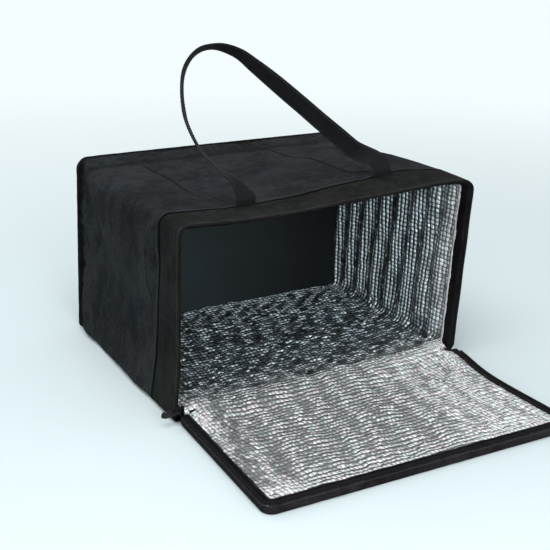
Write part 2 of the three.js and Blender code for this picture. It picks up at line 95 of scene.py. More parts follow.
class BagSizes(bpy.types.PropertyGroup):
    """Sizes of the sewn details"""

    row_pitch: bpy.props.FloatProperty(
        name="Foil row pitch", description="Distance between the foil's embossed rows",
        default=0.0072, unit="LENGTH")
    cell_pitch: bpy.props.FloatProperty(
        name="Foil cell pitch", description="Length of one embossed cell along a row",
        default=0.0054, unit="LENGTH")
    emboss: bpy.props.FloatProperty(
        name="Foil emboss", description="Height of the foil's embossed cells",
        default=0.0007, unit="LENGTH")
    billow: bpy.props.FloatProperty(
        name="Wall billow", description="Height of the lining's soft waves on the walls",
        default=0.0016, unit="LENGTH")
    stitch_pitch: bpy.props.FloatProperty(
        name="Stitch pitch", description="Distance from one stitch to the next",
        default=0.0034, unit="LENGTH")
    thread: bpy.props.FloatProperty(
        name="Thread", description="Thickness of the sewing thread",
        default=0.0006, unit="LENGTH")
    coil_pitch: bpy.props.FloatProperty(
        name="Zip coil pitch", description="Length of one turn of the zip's coil",
        default=0.0014, unit="LENGTH")
    wrinkle_cap: bpy.props.FloatProperty(
        name="Wrinkle cap", description="Farthest that the simulated fabric may move",
        default=0.005, unit="LENGTH")


class BagColours(bpy.types.PropertyGroup):
    """Colours of the finishes, as light reflected"""

    fabric: bpy.props.FloatVectorProperty(
        name="Outer fabric", description="Charcoal non-woven fabric", subtype="COLOR",
        default=(0.0125, 0.0146, 0.0162))
    # The band is coloured darker and browner than the wrap.
    band: bpy.props.FloatVectorProperty(
        name="Band", description="The same fabric round the mouth, from a browner roll", subtype="COLOR",
        default=(0.0089, 0.0096, 0.0093))
    trim: bpy.props.FloatVectorProperty(
        name="Trim", description="Black tape, facing and piping", subtype="COLOR",
        default=(0.0032, 0.0032, 0.0037))
    webbing: bpy.props.FloatVectorProperty(
        name="Webbing", description="Black webbing of the handles", subtype="COLOR",
        default=(0.0048, 0.0050, 0.0056))
    # The foil's crest colour is white and its valley colour near black: between them the foil's colour paints
    # its highlights and its shade.
    foil: bpy.props.FloatVectorProperty(
        name="Foil", description="Silver foil on its crests", subtype="COLOR",
        default=(1.0, 1.0, 1.0))
    foil_valley_shade: bpy.props.FloatVectorProperty(
        name="Foil valleys", description="Silver foil between its crests", subtype="COLOR",
        default=(0.016, 0.022, 0.026))
    board: bpy.props.FloatVectorProperty(
        name="Board", description="Dark stiffening board", subtype="COLOR",
        default=(0.0100, 0.0150, 0.0172))
    metal: bpy.props.FloatVectorProperty(
        name="Slider", description="Black painted zip slider", subtype="COLOR",
        default=(0.006, 0.006, 0.0066))
    ground: bpy.props.FloatVectorProperty(
        name="Floor", description="Pale floor and backdrop", subtype="COLOR",
        default=(0.50, 0.570, 0.585))


def sizes():
    """The sizes as the panel has them"""
    return bpy.context.scene.bag_sizes


def colours():
    """The colours as the panel has them"""
    return bpy.context.scene.bag_colours


# Materials

class Wire:
    """One output of a material's nodes, with the arithmetic that its values need"""

    def __init__(self, finish, socket):
        self.finish = finish
        self.socket = socket

    def maths(self, operation, *values):
        return self.finish.add("ShaderNodeMath", {"operation": operation}, dict(enumerate(values)))

    def __add__(self, other):
        return self.maths("ADD", self, other)

    def __sub__(self, other):
        return self.maths("SUBTRACT", self, other)

    def __rsub__(self, other):
        return self.maths("SUBTRACT", other, self)

    def __mul__(self, other):
        return self.maths("MULTIPLY", self, other)

    def __truediv__(self, other):
        return self.maths("DIVIDE", self, other)

    __radd__ = __add__
    __rmul__ = __mul__

    def sine(self):
        return self.maths("SINE", self)

    def size(self):
        return self.maths("ABSOLUTE", self)

    def floor(self):
        return self.maths("FLOOR", self)

    def at_most(self, limit):
        return self.maths("MINIMUM", self, limit)

    def smooth(self, low, high):
        settings = {"interpolation_type": "SMOOTHSTEP"}
        return self.finish.add("ShaderNodeMapRange", settings, {0: self, 1: low, 2: high})


class Finish:
    """A material: nodes are added one by one and end at its one shader"""

    def __init__(self, name, **constants):
        self.material = bpy.data.materials.new(name)
        self.material.use_nodes = True
        self.tree = self.material.node_tree
        self.shader = self.tree.nodes["Principled BSDF"]
        for socket, value in constants.items():
            self.shader.inputs[socket.replace("_", " ")].default_value = value

    def put(self, socket, value):
        if isinstance(value, Wire):
            self.tree.links.new(value.socket, socket)
        elif isinstance(value, (tuple, list)) and socket.type == "RGBA":
            socket.default_value = (*value[:3], 1)
        else:
            socket.default_value = value

    def add(self, kind, settings=None, inputs=None, output=0):
        node = self.tree.nodes.new(kind)
        for key, value in (settings or {}).items():
            setattr(node, key, value)
        for key, value in (inputs or {}).items():
            self.put(node.inputs[key], value)
        return Wire(self, node.outputs[output])

    def place(self):
        return self.add("ShaderNodeTexCoord", output="Object")

    def sheet(self):
        return self.add("ShaderNodeUVMap", {"uv_map": "Sheet"})

    def axis(self, vector, index):
        return self.add("ShaderNodeSeparateXYZ", inputs={0: vector}, output=index)

    def stretched(self, vector, scale):
        return self.add("ShaderNodeMapping", inputs={"Vector": vector, "Scale": scale})

    def noise(self, vector, scale, detail=3.0, roughness=0.55, distortion=0.0):
        inputs = {"Vector": vector, "Scale": scale, "Detail": detail,
                  "Roughness": roughness, "Distortion": distortion}
        return self.add("ShaderNodeTexNoise", inputs=inputs)

    def cells(self, vector, scale, randomness=1.0):
        inputs = {"Vector": vector, "Scale": scale, "Randomness": randomness}
        return self.add("ShaderNodeTexVoronoi", inputs=inputs)

    def blend(self, share, low, high):
        return self.add("ShaderNodeMix", {"data_type": "RGBA"}, {0: share, 6: low, 7: high}, 2)

    def shaded(self, colour, share, low, high):
        return self.blend(share, toned(colour, low), toned(colour, high))

    def bump(self, height, distance, strength=1.0, after=None):
        inputs = {"Height": height, "Distance": distance, "Strength": strength}
        if after is not None:
            inputs["Normal"] = after
        return self.add("ShaderNodeBump", inputs=inputs)

    def out(self, **links):
        for socket, value in links.items():
            self.put(self.shader.inputs[socket.replace("_", " ")], value)
        return self.material


def toned(colour, tone):
    """A colour times one number, or times a number each for red, green and blue"""
    return tuple((np.array(colour, float) * tone).tolist())


def drawn_creases(f, place):
    """1 on the sharp lines of the folding creases and 0 beside them: a mask for their painted shade and their
    bump
    """
    x, y, z = (f.axis(place, k) for k in range(3))
    waver = f.noise(place, 85, 2, 0.5) * 0.0016 - 0.0008
    # the two pressed creases on the top panel, where crease_at has them too
    left = (y / 0.024).sine() * 0.0016 - 0.1205
    right = 0.1012 - y.smooth(0.190, 0.230) * 0.0165 - y.smooth(0.070, 0.102) * 0.0125
    total = 0.0
    for line, (start, end) in zip((left, right), CREASE_ENDS):
        near = 1.0 - (x - line + waver).size().smooth(0.0003, 0.0015)
        total = near * y.smooth(start, start + 0.012) * (1.0 - y.smooth(end - 0.035, end)) + total
    total = total * z.smooth(0.225, 0.236)
    # the upright crease on the left wall
    side = 1.0 - (y - 0.086 + waver + z * 0.02).size().smooth(0.0002, 0.0014)
    side = side * z.smooth(0.055, 0.09) * (1.0 - z.smooth(0.175, 0.205)) * (1.0 - x.smooth(-0.19, -0.18))
    total = total + side * 0.75
    # short lines that fan out from the handle's feet
    for centre in (-0.093, 0.097):
        ratio = (x - centre) / (y - 0.012)
        fan = (ratio * 38.0 + waver * 400.0).sine().smooth(0.45, 1.0)
        spread = ratio.smooth(-1.1, -0.6) * (1.0 - ratio.smooth(-0.12, -0.02))
        fan = fan * spread * y.smooth(0.046, 0.056) * (1.0 - y.smooth(0.075, 0.15))
        total = fan * z.smooth(0.232, 0.238) * 0.55 + total
    return total


def nonwoven(name, colour, dots=1.0, lines=False):
    """Pressed non-woven fabric: brushed, blotchy, with fibres and a fine grid of pressed dots, with painted
    shade where its Crest attribute is high and, with lines, along its creases
    """
    f = Finish(name, Sheen_Weight=0.002, Specular_IOR_Level=0.03)
    place = f.place()
    clouds = f.noise(place, 9, 3, 0.6, 0.4)
    mottle = f.noise(f.stretched(place, (1, 1, 0.6)), 52, 5, 0.68)
    brushed = f.noise(f.stretched(place, (0.5, 1, 0.7)), 230, 4, 0.7, 0.5)
    fibres = f.noise(place, 900, 4, 0.7, 1.2)
    strands = f.noise(f.stretched(place, (1, 1, 7)), 420, 2, 0.6)
    press = f.cells(place, 720, 0.35)
    share = (clouds * 0.26 + mottle * 0.22 + brushed * 0.27 + fibres * 0.25).smooth(0.42, 0.58)
    dimple = press.smooth(0.1, 0.5)
    height = fibres * 0.45 + strands * 0.25 + dimple * (0.5 * dots)
    rumpled = f.bump(f.noise(place, 130, 4, 0.6), 0.0011, 0.5)
    groove = f.add("ShaderNodeAttribute", {"attribute_name": "Crest"}, output="Fac")
    if lines:
        # painted shade: the crease lines are darkened in the colour as well as bumped
        crease = drawn_creases(f, place)
        share = share * (1.0 - crease * 0.7) - crease * 0.55
        rumpled = f.bump(1.0 - crease, 0.0012, 0.9, rumpled)
    cool, warm = toned(colour, (0.97, 1.0, 1.03)), toned(colour, (1.04, 1.0, 0.97))
    tint = f.noise(place, 14, 2, 0.5).smooth(0.35, 0.65)
    dark = f.blend(tint, toned(cool, 0.50), toned(warm, 0.50))
    light = f.blend(tint, toned(cool, 1.55), toned(warm, 1.55))
    normal = f.bump(height, 0.00032, 0.8, rumpled)
    # painted shade: where the Crest attribute is high the colour falls to 0.12 of itself
    shade = f.blend(groove, f.blend(share, dark, light), toned(colour, 0.12))
    return f.out(Base_Color=shade, Roughness=0.74 + fibres * 0.2, Normal=normal)


def woven_tape(name, colour, pitch=0.0011):
    """Close woven tape, its weave laid by the sheet's own lengths"""
    f = Finish(name, Sheen_Weight=0.008, Specular_IOR_Level=0.15)
    sheet = f.sheet()
    along, across = f.axis(sheet, 0), f.axis(sheet, 1)
    warp = (across * (2 * math.pi / pitch)).sine()
    weft = (along * (2 * math.pi / (pitch * 0.8))).sine()
    place = f.place()
    worn = f.noise(place, 60, 4, 0.6)
    fuzz = f.noise(place, 1500, 2, 0.6)
    weave = warp * weft * 0.5 + 0.5
    shade = f.shaded(colour, (worn * 0.6 + fuzz * 0.25 + weave * 0.15).smooth(0.25, 0.75), 0.65, 1.5)
    normal = f.bump(weave * 0.6 + fuzz * 0.4, 0.00018, 0.8)
    return f.out(Base_Color=shade, Roughness=0.66 + fuzz * 0.2, Normal=normal)


def ribbed_webbing(name, colour):
    """Flat webbing: ribs run across it and the selvedges are close and smooth"""
    f = Finish(name, Sheen_Weight=0.006, Specular_IOR_Level=0.08)
    sheet = f.sheet()
    along, across = f.axis(sheet, 0), f.axis(sheet, 1)
    ribs = (along * (2 * math.pi / 0.0016)).sine()
    warps = (across * (2 * math.pi / 0.0012)).sine()
    place = f.place()
    worn = f.noise(place, 45, 5, 0.65)
    fuzz = f.noise(place, 1300, 3, 0.65)
    edge = (across - WEBBING / 2).size().smooth(0.0098, 0.0112)
    weave = ribs * (1.0 - edge) * 0.2 + warps * 0.15 + 0.5
    # the selvedges have no ribs and are painted a little lighter, a painted highlight along the strap's edges
    share = worn * 0.65 + fuzz * 0.25 + weave * 0.1 + edge * 0.05
    shade = f.shaded(colour, share.smooth(0.3, 0.8), 0.7, 1.75)
    normal = f.bump(weave * 0.6 + fuzz * 0.4, 0.00018, 0.8)
    return f.out(Base_Color=shade, Roughness=0.62 + fuzz * 0.22, Normal=normal)


def embossed_foil(name, bright, valley_shade):
    """Silver film pressed in rows of small pillows. Its colour is painted light: painted highlights on the
    plump cells and on crumples, painted glints, painted shade in the grooves between the cells both ways and
    under each row's ridge, and darker, bluer painted shade inside the bag.
    """
    f = Finish(name, Specular_IOR_Level=0.5)
    sheet = f.sheet()
    along, across = f.axis(sheet, 0) / sizes().cell_pitch, f.axis(sheet, 1) / sizes().row_pitch
    swell = f.add("ShaderNodeAttribute", {"attribute_name": "Crest"}, output="Fac")
    crest, crumple_and_highlight = swell.at_most(1.0), swell.smooth(1.0, 1.7)
    # each cell has its own luck, a painted highlight on a ridge along its row, a painted shadow as a dark
    # line under it and painted shade in the grooves between
    row = across.floor()
    index = f.add("ShaderNodeCombineXYZ", inputs={0: along.floor(), 1: row})
    luck = f.add("ShaderNodeTexWhiteNoise", {"noise_dimensions": "2D"}, {"Vector": index})
    ridge = 1.0 - (across - row - 0.54).size().smooth(0.12, 0.40)
    under = 1.0 - (across - row - 0.12).size().smooth(0.02, 0.15)
    groove = (along * math.pi).sine().size().smooth(0.12, 0.72)
    # inside is 1 within the bag and 0 on the lid, and makes the colour darker there as painted shade; turned
    # marks the lid's sides, which are painted as lit more evenly
    place = f.place()
    inside = f.axis(place, 1).smooth(-0.03, 0.10)
    side = f.axis(place, 0)
    turned = (side.smooth(0.03, 0.13) + (1.0 - side.smooth(-0.165, -0.135))) * (1.0 - inside) * 0.75
    grain = f.noise(place, 900, 3, 0.8, 0.6)
    streaks = f.noise(f.stretched(sheet, (2.6, 1, 1)), 300, 3, 0.7, 0.5)
    crush = f.noise(place, 240, 4, 0.7, 0.8)
    bars = f.noise(f.stretched(sheet, (0.45, 1.5, 1)), 300, 3, 0.7).smooth(0.40, 0.60)
    flat = (1.0 - turned) * ridge + turned * (ridge * 0.5 + 0.5)
    pillow = flat * (groove * 0.9 + 0.1)
    pillow = pillow * (1.0 - (1.0 - bars) * (0.85 - inside * 0.45))
    # painted light: how bright a flat and a plump cell is, with painted glints, then grain, contrast and the
    # painted highlights of the crumpled patches
    low = crest.smooth(-0.05, 0.42) * (0.21 - inside * 0.16)
    sparkle = luck.smooth(0.78, 0.98) * (0.35 + inside * 0.15)
    high = crest * (crest * 1.15 + luck * 0.5 + 0.45) + sparkle + 0.05 - inside * 0.02
    share = low + (high - low) * pillow - under * crest * 0.12
    share = share * ((grain - 0.5) * 1.3 + (streaks - 0.5) * 1.7 + (crush - 0.5) * 0.9 + 1.0)
    share = share + ((share - 0.29) * 0.42 + 0.012) * (1.0 - inside) + (share - 0.1) * inside * 0.28
    crumple_glints = f.noise(f.stretched(place, (1, 0.6, 1)), 400, 3, 0.7, 1.6).smooth(0.47, 0.56)
    share = share * (1.0 - crumple_and_highlight) + crumple_and_highlight * (crumple_glints * 1.7 + 0.12)
    tint = f.noise(place, 95, 2, 0.5).smooth(0.38, 0.62)
    outer = f.blend(tint, toned(bright, (0.93, 1.0, 1.0)), toned(bright, (1.0, 0.955, 0.965)))
    # painted light: inside the bag the bright colour turns bluer
    crown = f.blend(inside, outer, toned(bright, (0.80, 0.94, 1.0)))
    shade = f.blend(share.smooth(0.0, 1.0) * 0.35 + share * 0.65, valley_shade, crown)
    rough = 0.50 - pillow * crest * 0.2 + (grain - 0.5) * 0.2
    pressed = f.bump(pillow, 0.0016, 0.9)
    normal = f.bump(crush * 0.6 + grain * 0.4, 0.0007, 0.7, pressed)
    return f.out(Base_Color=shade, Metallic=0.55, Roughness=rough, Normal=normal)


def moulded_sheet(name, colour):
    """Smooth stiff sheet with faint scuffs, painted lighter at its left and darker towards its right as shade
    """
    f = Finish(name, Specular_IOR_Level=0.2)
    place = f.place()
    clouds = f.noise(place, 7, 3, 0.5)
    scuffs = f.noise(f.stretched(place, (1, 1, 9)), 130, 5, 0.7)
    peel = f.noise(place, 700, 2, 0.5)
    share = (clouds * 0.75 + scuffs * 0.25).smooth(0.3, 0.7) * 0.4 + 0.6
    # painted shade: the colour darkens from left to right across the board
    share = share * (1.0 - f.axis(place, 0).smooth(-0.16, 0.18))
    shade = f.shaded(colour, share, 0.3, 2.2)
    normal = f.bump(peel, 0.00012, 0.5)
    return f.out(Base_Color=shade, Roughness=0.42 + scuffs * 0.1, Normal=normal)


def painted_casting(name, colour):
    """Black paint over a small casting, rubbed through here and there"""
    f = Finish(name, Specular_IOR_Level=0.12)
    place = f.place()
    rub = f.noise(place, 420, 5, 0.7)
    grain = f.noise(place, 2400, 2, 0.6)
    bare = rub.smooth(0.62, 0.72)
    shade = f.blend(bare, tuple(colour), (0.30, 0.30, 0.31))
    normal = f.bump(grain * 0.6 + rub * 0.4, 0.00008, 0.6)
    return f.out(Base_Color=shade, Metallic=bare * 0.9, Roughness=0.46 - bare * 0.16 + grain * 0.1,
                 Normal=normal)


def nylon_coil(name, colour):
    """Nylon monofilament"""
    f = Finish(name, Specular_IOR_Level=0.15)
    place = f.place()
    wear = f.noise(place, 160, 3, 0.6)
    shade = f.shaded(colour, wear.smooth(0.3, 0.7), 0.8, 1.7)
    normal = f.bump(f.noise(place, 1800, 2, 0.5), 0.00004, 0.5)
    return f.out(Base_Color=shade, Roughness=0.32 + wear * 0.2, Normal=normal)


def sewing_thread(name, colour):
    """Twisted polyester thread"""
    f = Finish(name, Sheen_Weight=0.2)
    place = f.place()
    twist = (f.axis(place, 0) + f.axis(place, 1) + f.axis(place, 2)) * (2 * math.pi / 0.0005)
    lay = twist.sine() * 0.5 + 0.5
    fuzz = f.noise(place, 2500, 2, 0.6)
    shade = f.shaded(colour, lay * 0.5 + fuzz * 0.5, 0.6, 1.5)
    return f.out(Base_Color=shade, Roughness=0.55 + fuzz * 0.2, Normal=f.bump(lay, 0.0001, 0.7))


def foam_edge(name):
    """Cut edge of the white foam under the foil"""
    f = Finish(name)
    place = f.place()
    bubbles = f.cells(place, 900, 1.0)
    dust = f.noise(place, 90, 4, 0.6)
    shade = f.shaded((0.42, 0.43, 0.44), dust.smooth(0.3, 0.7), 0.7, 1.25)
    return f.out(Base_Color=shade, Roughness=0.7 + bubbles * 0.3, Normal=f.bump(bubbles, 0.0003, 0.8))


SHELF = {}


def kept(name, make):
    """What several pieces share is made once, when a piece first asks for it"""
    if name not in SHELF:
        SHELF[name] = make()
    return SHELF[name]


def material(name):
    """A finish by its name"""
    c = colours()
    rim = toned(c.fabric, (0.92, 0.74, 0.74))
    makers = {
        "Fabric": lambda: nonwoven("Charcoal non-woven", c.band),
        "Wrap": lambda: nonwoven("Creased charcoal non-woven", c.fabric, lines=True),
        "Facing": lambda: nonwoven("Black facing", toned(c.trim, 1.5), 0.7),
        "Tape": lambda: woven_tape("Black woven tape", c.trim),
        "Piping": lambda: nonwoven("Black piping fabric", toned(c.trim, 2.0), 0.6),
        "Rim": lambda: nonwoven("Fabric of the lid's rim", rim),
        "Webbing": lambda: ribbed_webbing("Ribbed black webbing", c.webbing),
        "Foil": lambda: embossed_foil("Embossed silver foil", c.foil, tuple(c.foil_valley_shade)),
        "Board": lambda: moulded_sheet("Dark board", c.board),
        "Metal": lambda: painted_casting("Painted casting", c.metal),
        "Coil": lambda: nylon_coil("Black nylon coil", toned(c.trim, 0.8)),
        "Thread": lambda: sewing_thread("Black thread", c.trim),
        "Foam": lambda: foam_edge("Foam edge"),
    }
    return kept(name, makers[name])


# Outlines and soft shape

def ease(value, low, high):
    """0 before low, 1 after high and a smooth step between"""
    t = np.clip((value - low) / (high - low), 0, 1)
    return t * t * (3 - 2 * t)


def bell(value, centre, width):
    """1 at the centre, falling away on both sides"""
    return np.exp(-((value - centre) / width) ** 2)


def run_along(path):
    """Length from the start of a path to each of its points"""
    return np.concatenate([[0], np.cumsum(np.linalg.norm(np.diff(path, axis=0), axis=1))])


def interpolated(places, run, values):
    """Points or directions at lengths along a path"""
    return np.stack([np.interp(places, run, values[:, k]) for k in range(3)], 1)


def border_distance(x, y, low_x, high_x, low_y, high_y):
    """Distance from the nearest side of a rectangle"""
    return np.minimum(np.minimum(x - low_x, high_x - x), np.minimum(y - low_y, high_y - y))


class Waves:
    """Smooth repeatable unevenness: a seeded sum of plane waves of about one length"""

    def __init__(self, seed, length, count=9, spread=0.55):
        source = np.random.RandomState(seed)
        turns = source.uniform(0, 2 * np.pi, count)
        pitch = length * (1 + spread * source.uniform(-1, 1, count))
        self.kx = 2 * np.pi * np.cos(turns) / pitch
        self.ky = 2 * np.pi * np.sin(turns) / pitch
        self.phase = source.uniform(0, 2 * np.pi, count)

    def at(self, x, y):
        total = sum(np.sin(a * x + b * y + p) for a, b, p in zip(self.kx, self.ky, self.phase))
        return total / math.sqrt(len(self.kx) / 2)

    def along(self, run):
        return self.at(run, run * 0)


class Outline:
    """A box with rounded corners, walked from the middle of its underside up the left side"""

    def __init__(self, left, right, low, high, low_radius, high_radius, steps):
        points, normals = [], []
        bottom, side, top, corner = steps
        middle = (left + right) / 2

        def straight(a, b, normal, pitch):
            count = max(2, round(math.dist(a, b) / pitch))
            for i in range(count):
                t = i / count
                points.append([a[0] + (b[0] - a[0]) * t, a[1] + (b[1] - a[1]) * t])
                normals.append(normal)

        def bend(centre, radius, start):
            count = max(4, round(radius * math.pi / 2 / corner))
            for i in range(count):
                angle = math.radians(start - 90 * i / count)
                normal = [math.cos(angle), math.sin(angle)]
                points.append([centre[0] + radius * normal[0], centre[1] + radius * normal[1]])
                normals.append(normal)

        lr, hr = low_radius, high_radius
        straight((middle, low), (left + lr, low), (0, -1), bottom)
        bend((left + lr, low + lr), lr, 270)
        straight((left, low + lr), (left, high - hr), (-1, 0), side)
        bend((left + hr, high - hr), hr, 180)
        straight((left + hr, high), (right - hr, high), (0, 1), top)
        bend((right - hr, high - hr), hr, 90)
        straight((right, high - hr), (right, low + lr), (1, 0), side)
        bend((right - lr, low + lr), lr, 0)
        straight((right - lr, low), (middle, low), (0, -1), bottom)
        self.points = np.array(points + points[:1])
        self.normals = np.array(normals + normals[:1], float)
        self.run = run_along(self.points)

    def part(self, keep):
        """The same outline with only the stations where keep is true"""
        other = object.__new__(Outline)
        other.points, other.normals = self.points[keep], self.normals[keep]
        other.run = self.run[keep]
        return other

    def lofted(self, section):
        """Rows of points: section holds (inset, y) pairs, with numbers or one value a station"""
        rows = []
        for inset, y in section:
            inset = np.broadcast_to(np.asarray(inset, float), self.run.shape)
            y = np.broadcast_to(np.asarray(y, float), self.run.shape)
            xz = self.points - self.normals * inset[:, None]
            rows.append(np.stack([xz[:, 0], y, xz[:, 1]], 1))
        return np.array(rows)

    def outward(self, rows):
        """Normals of the outline for a number of rows"""
        flat = np.stack([self.normals[:, 0], np.zeros(len(self.run)), self.normals[:, 1]], 1)
        return np.repeat(flat[None], rows, 0)


def shell_outline(inset, steps, low_radius=None, high_radius=None):
    """The plain box's outline seen from the mouth"""
    low_radius = max(BOTTOM_RADIUS - inset, 0.0012) if low_radius is None else low_radius
    high_radius = max(TOP_RADIUS - inset, 0.003) if high_radius is None else high_radius
    return Outline(SHELL_LOW.x + inset, SHELL_HIGH.x - inset, SHELL_LOW.z + inset,
                   SHELL_HIGH.z - inset, low_radius, high_radius, steps)


# The plain box in millimetres: its low corner and its lengths
PLAIN_LOW = (-200, -3, 2.4)
PLAIN_SIZE = (400, 335, 240)
# How far the soft shell stands from the plain box, in millimetres, chosen against the photo.
# Corners first: each line is left or right, mouth or base, low or high, and the shift along X, Y and Z.
CORNER_SHIFTS = np.array([
    [[[-3.4, -1.2, -1.6], [3.6, -1.9, -1.1]], [[-5.0, 1.2, -1.2], [4.7, -1.0, 0.7]]],
    [[[-3.0, 2.0, 1.8], [11.4, -2.8, 5.2]], [[0.0, 0.0, 0.0], [-2.9, 1.1, -2.6]]],
])
# Rise of the top panel over the line between its corners, for places along X by places along Y
TOP_X = np.array([-200, -165, -130, -65, 0, 65, 130, 165, 200])
TOP_Y = np.array([-3, 40, 120, 220, 332])
TOP_RISE = np.array([
    [0, -2.6, -4.9, -6.0, -4.6, -2.3, -0.3, 0.4, 0],
    [0, -1.2, -3.2, -3.4, -0.5, 4.2, 7.0, 4.5, 0.0],
    [0, -0.6, -0.8, -0.8, 1.7, 4.2, 4.4, 2.2, 0.0],
    [0, 0.2, 0.4, 0.6, 1.6, 2.4, 2.0, 1.6, 0.5],
    [0, 0.4, 0.5, 0.5, 0.5, 0.3, 0.2, 0.1, 0],
])


def spline_at(values, places, x):
    """Smooth interpolation of values given at uneven places"""
    x = np.clip(x, places[0], places[-1])
    i = np.clip(np.searchsorted(places, x, side="right") - 1, 0, len(places) - 2)
    slopes = np.gradient(values, places, axis=0)
    h = (places[i + 1] - places[i]).astype(float)
    t = (x - places[i]) / h
    a, b, m, n = values[i], values[i + 1], slopes[i], slopes[i + 1]
    if a.ndim > 1:
        t, h = t[:, None], h[:, None]
    return ((2 * t**3 - 3 * t**2 + 1) * a + (t**3 - 2 * t**2 + t) * h * m
            + (-2 * t**3 + 3 * t**2) * b + (t**3 - t**2) * h * n)


def top_rise(x, y):
    """Rise of the top panel at places in millimetres"""
    along_x = spline_at(TOP_RISE.T, TOP_X, x.ravel())
    flat_y = np.clip(y.ravel(), TOP_Y[0], TOP_Y[-1])
    i = np.clip(np.searchsorted(TOP_Y, flat_y, side="right") - 1, 0, len(TOP_Y) - 2)
    share = ease(flat_y, TOP_Y[i], TOP_Y[i + 1])
    rows = np.arange(len(flat_y))
    rise = along_x[rows, i] * (1 - share) + along_x[rows, i + 1] * share
    return rise.reshape(x.shape)


def hinge_rise(x, v):
    """How far the hinge's right end stands off the ground, in millimetres. It dies out at 0.3 of v."""
    return 4.8 * ease(x, 70, 195) * (1 - ease(v, -0.05, 0.30))


def settle(points):
    """Moves points of the plain box to where the soft shell stands. Any shape of array, metres."""
    p = np.asarray(points, float) / MM
    x, y, z = p[..., 0], p[..., 1], p[..., 2]
    u, v, w = (np.clip((p[..., k] - PLAIN_LOW[k]) / PLAIN_SIZE[k], 0, 1) for k in range(3))
    shift = 0
    for i, a in enumerate((1 - u, u)):
        for j, b in enumerate((1 - v, v)):
            for k, c in enumerate((1 - w, w)):
                shift = shift + (a * b * c)[..., None] * CORNER_SHIFTS[i, j, k]
    # only the upper half of the walls follows the top panel's rise
    shift[..., 2] += hinge_rise(x, v) * (1 - w)
    shift[..., 2] += top_rise(x, y) * np.clip((z - 110) / 130, 0, 1.05) ** 2
    # the corner at the mouth's upper right is worn down
    worn = ease(x, 160, 203) * ease(z, 205, 241) * (1 - v) ** 4
    shift[..., 2] -= 3.0 * worn
    shift[..., 0] -= 0.6 * worn
    # the right wall bulges out, the left one leans in with its foot pushed out, and the base bulges
    middle, deep = np.sin(np.pi * w), np.sin(np.pi * v) ** 0.7
    foot = (1 - ease(z, 0, 70)) * ease(-y, -331, -290)
    shift[..., 0] += bell(x, 205, 30) * (3.4 * deep * ease(z, 90, 235) + 1.6 * middle * deep)
    shift[..., 0] += bell(x, -205, 30) * (2.2 * middle * deep - 4.6 * foot)
    shift[..., 1] += bell(y, 335, 18) * 3.0 * np.sin(np.pi * u) * middle
    return (p + shift) * MM


# The lid in millimetres: where its panel starts, how far it reaches, and how far its far corners
# are shifted along X and Y
LID_NEAR = -9.6
LID_DEPTH = 223.8
LID_SHIFT = {"left": (-5.3, 0.9), "right": (1.3, -2.6)}


def settle_lid(points):
    """The same for the lid, which lies on the ground in front of its hinge"""
    p = np.asarray(points, float) / MM
    x, y = p[..., 0], p[..., 1]
    u = np.clip((x - PLAIN_LOW[0]) / PLAIN_SIZE[0], 0, 1)
    v = np.clip((LID_NEAR - y) / LID_DEPTH, 0, 1.02)
    shift = np.zeros_like(p)
    for axis in (0, 1):
        shift[..., axis] = v * ((1 - u) * LID_SHIFT["left"][axis] + u * LID_SHIFT["right"][axis])
    # its right edge is bowed in
    bow = 3.0 + 9.5 * ease(v, 0.02, 0.45) - 2.5 * ease(v, 0.5, 1.0)
    shift[..., 0] -= 1.7 * (1 - u) + u * u * bow
    shift[..., 2] += hinge_rise(x, v)
    return (p + shift) * MM


# Making meshes

def only(*objects):
    """Leaves object mode with just these selected and the last one active"""
    if bpy.context.object and bpy.context.object.mode != "OBJECT":
        bpy.ops.object.mode_set(mode="OBJECT")
    bpy.ops.object.select_all(action="DESELECT")
    for item in objects:
        item.select_set(True)
        bpy.context.view_layer.objects.active = item


def in_edit(item, *jobs):
    """Runs edit-mode jobs on a whole mesh"""
    only(item)
    bpy.ops.object.mode_set(mode="EDIT")
    bpy.ops.mesh.select_all(action="SELECT")
    for job in jobs:
        job()
    bpy.ops.object.mode_set(mode="OBJECT")


def applied(item, kind, **settings):
    """Adds a modifier and applies it"""
    only(item)
    modifier = item.modifiers.new(kind.title(), kind)
    for key, value in settings.items():
        setattr(modifier, key, value)
    bpy.ops.object.modifier_apply(modifier=modifier.name)
    return item


def coordinates(item):
    """A mesh's points, as rows of three"""
    flat = np.zeros(len(item.data.vertices) * 3)
    item.data.vertices.foreach_get("co", flat)
    return flat.reshape(-1, 3)


def set_coordinates(item, places):
    item.data.vertices.foreach_set("co", np.asarray(places, np.float32).ravel())
    item.data.update()


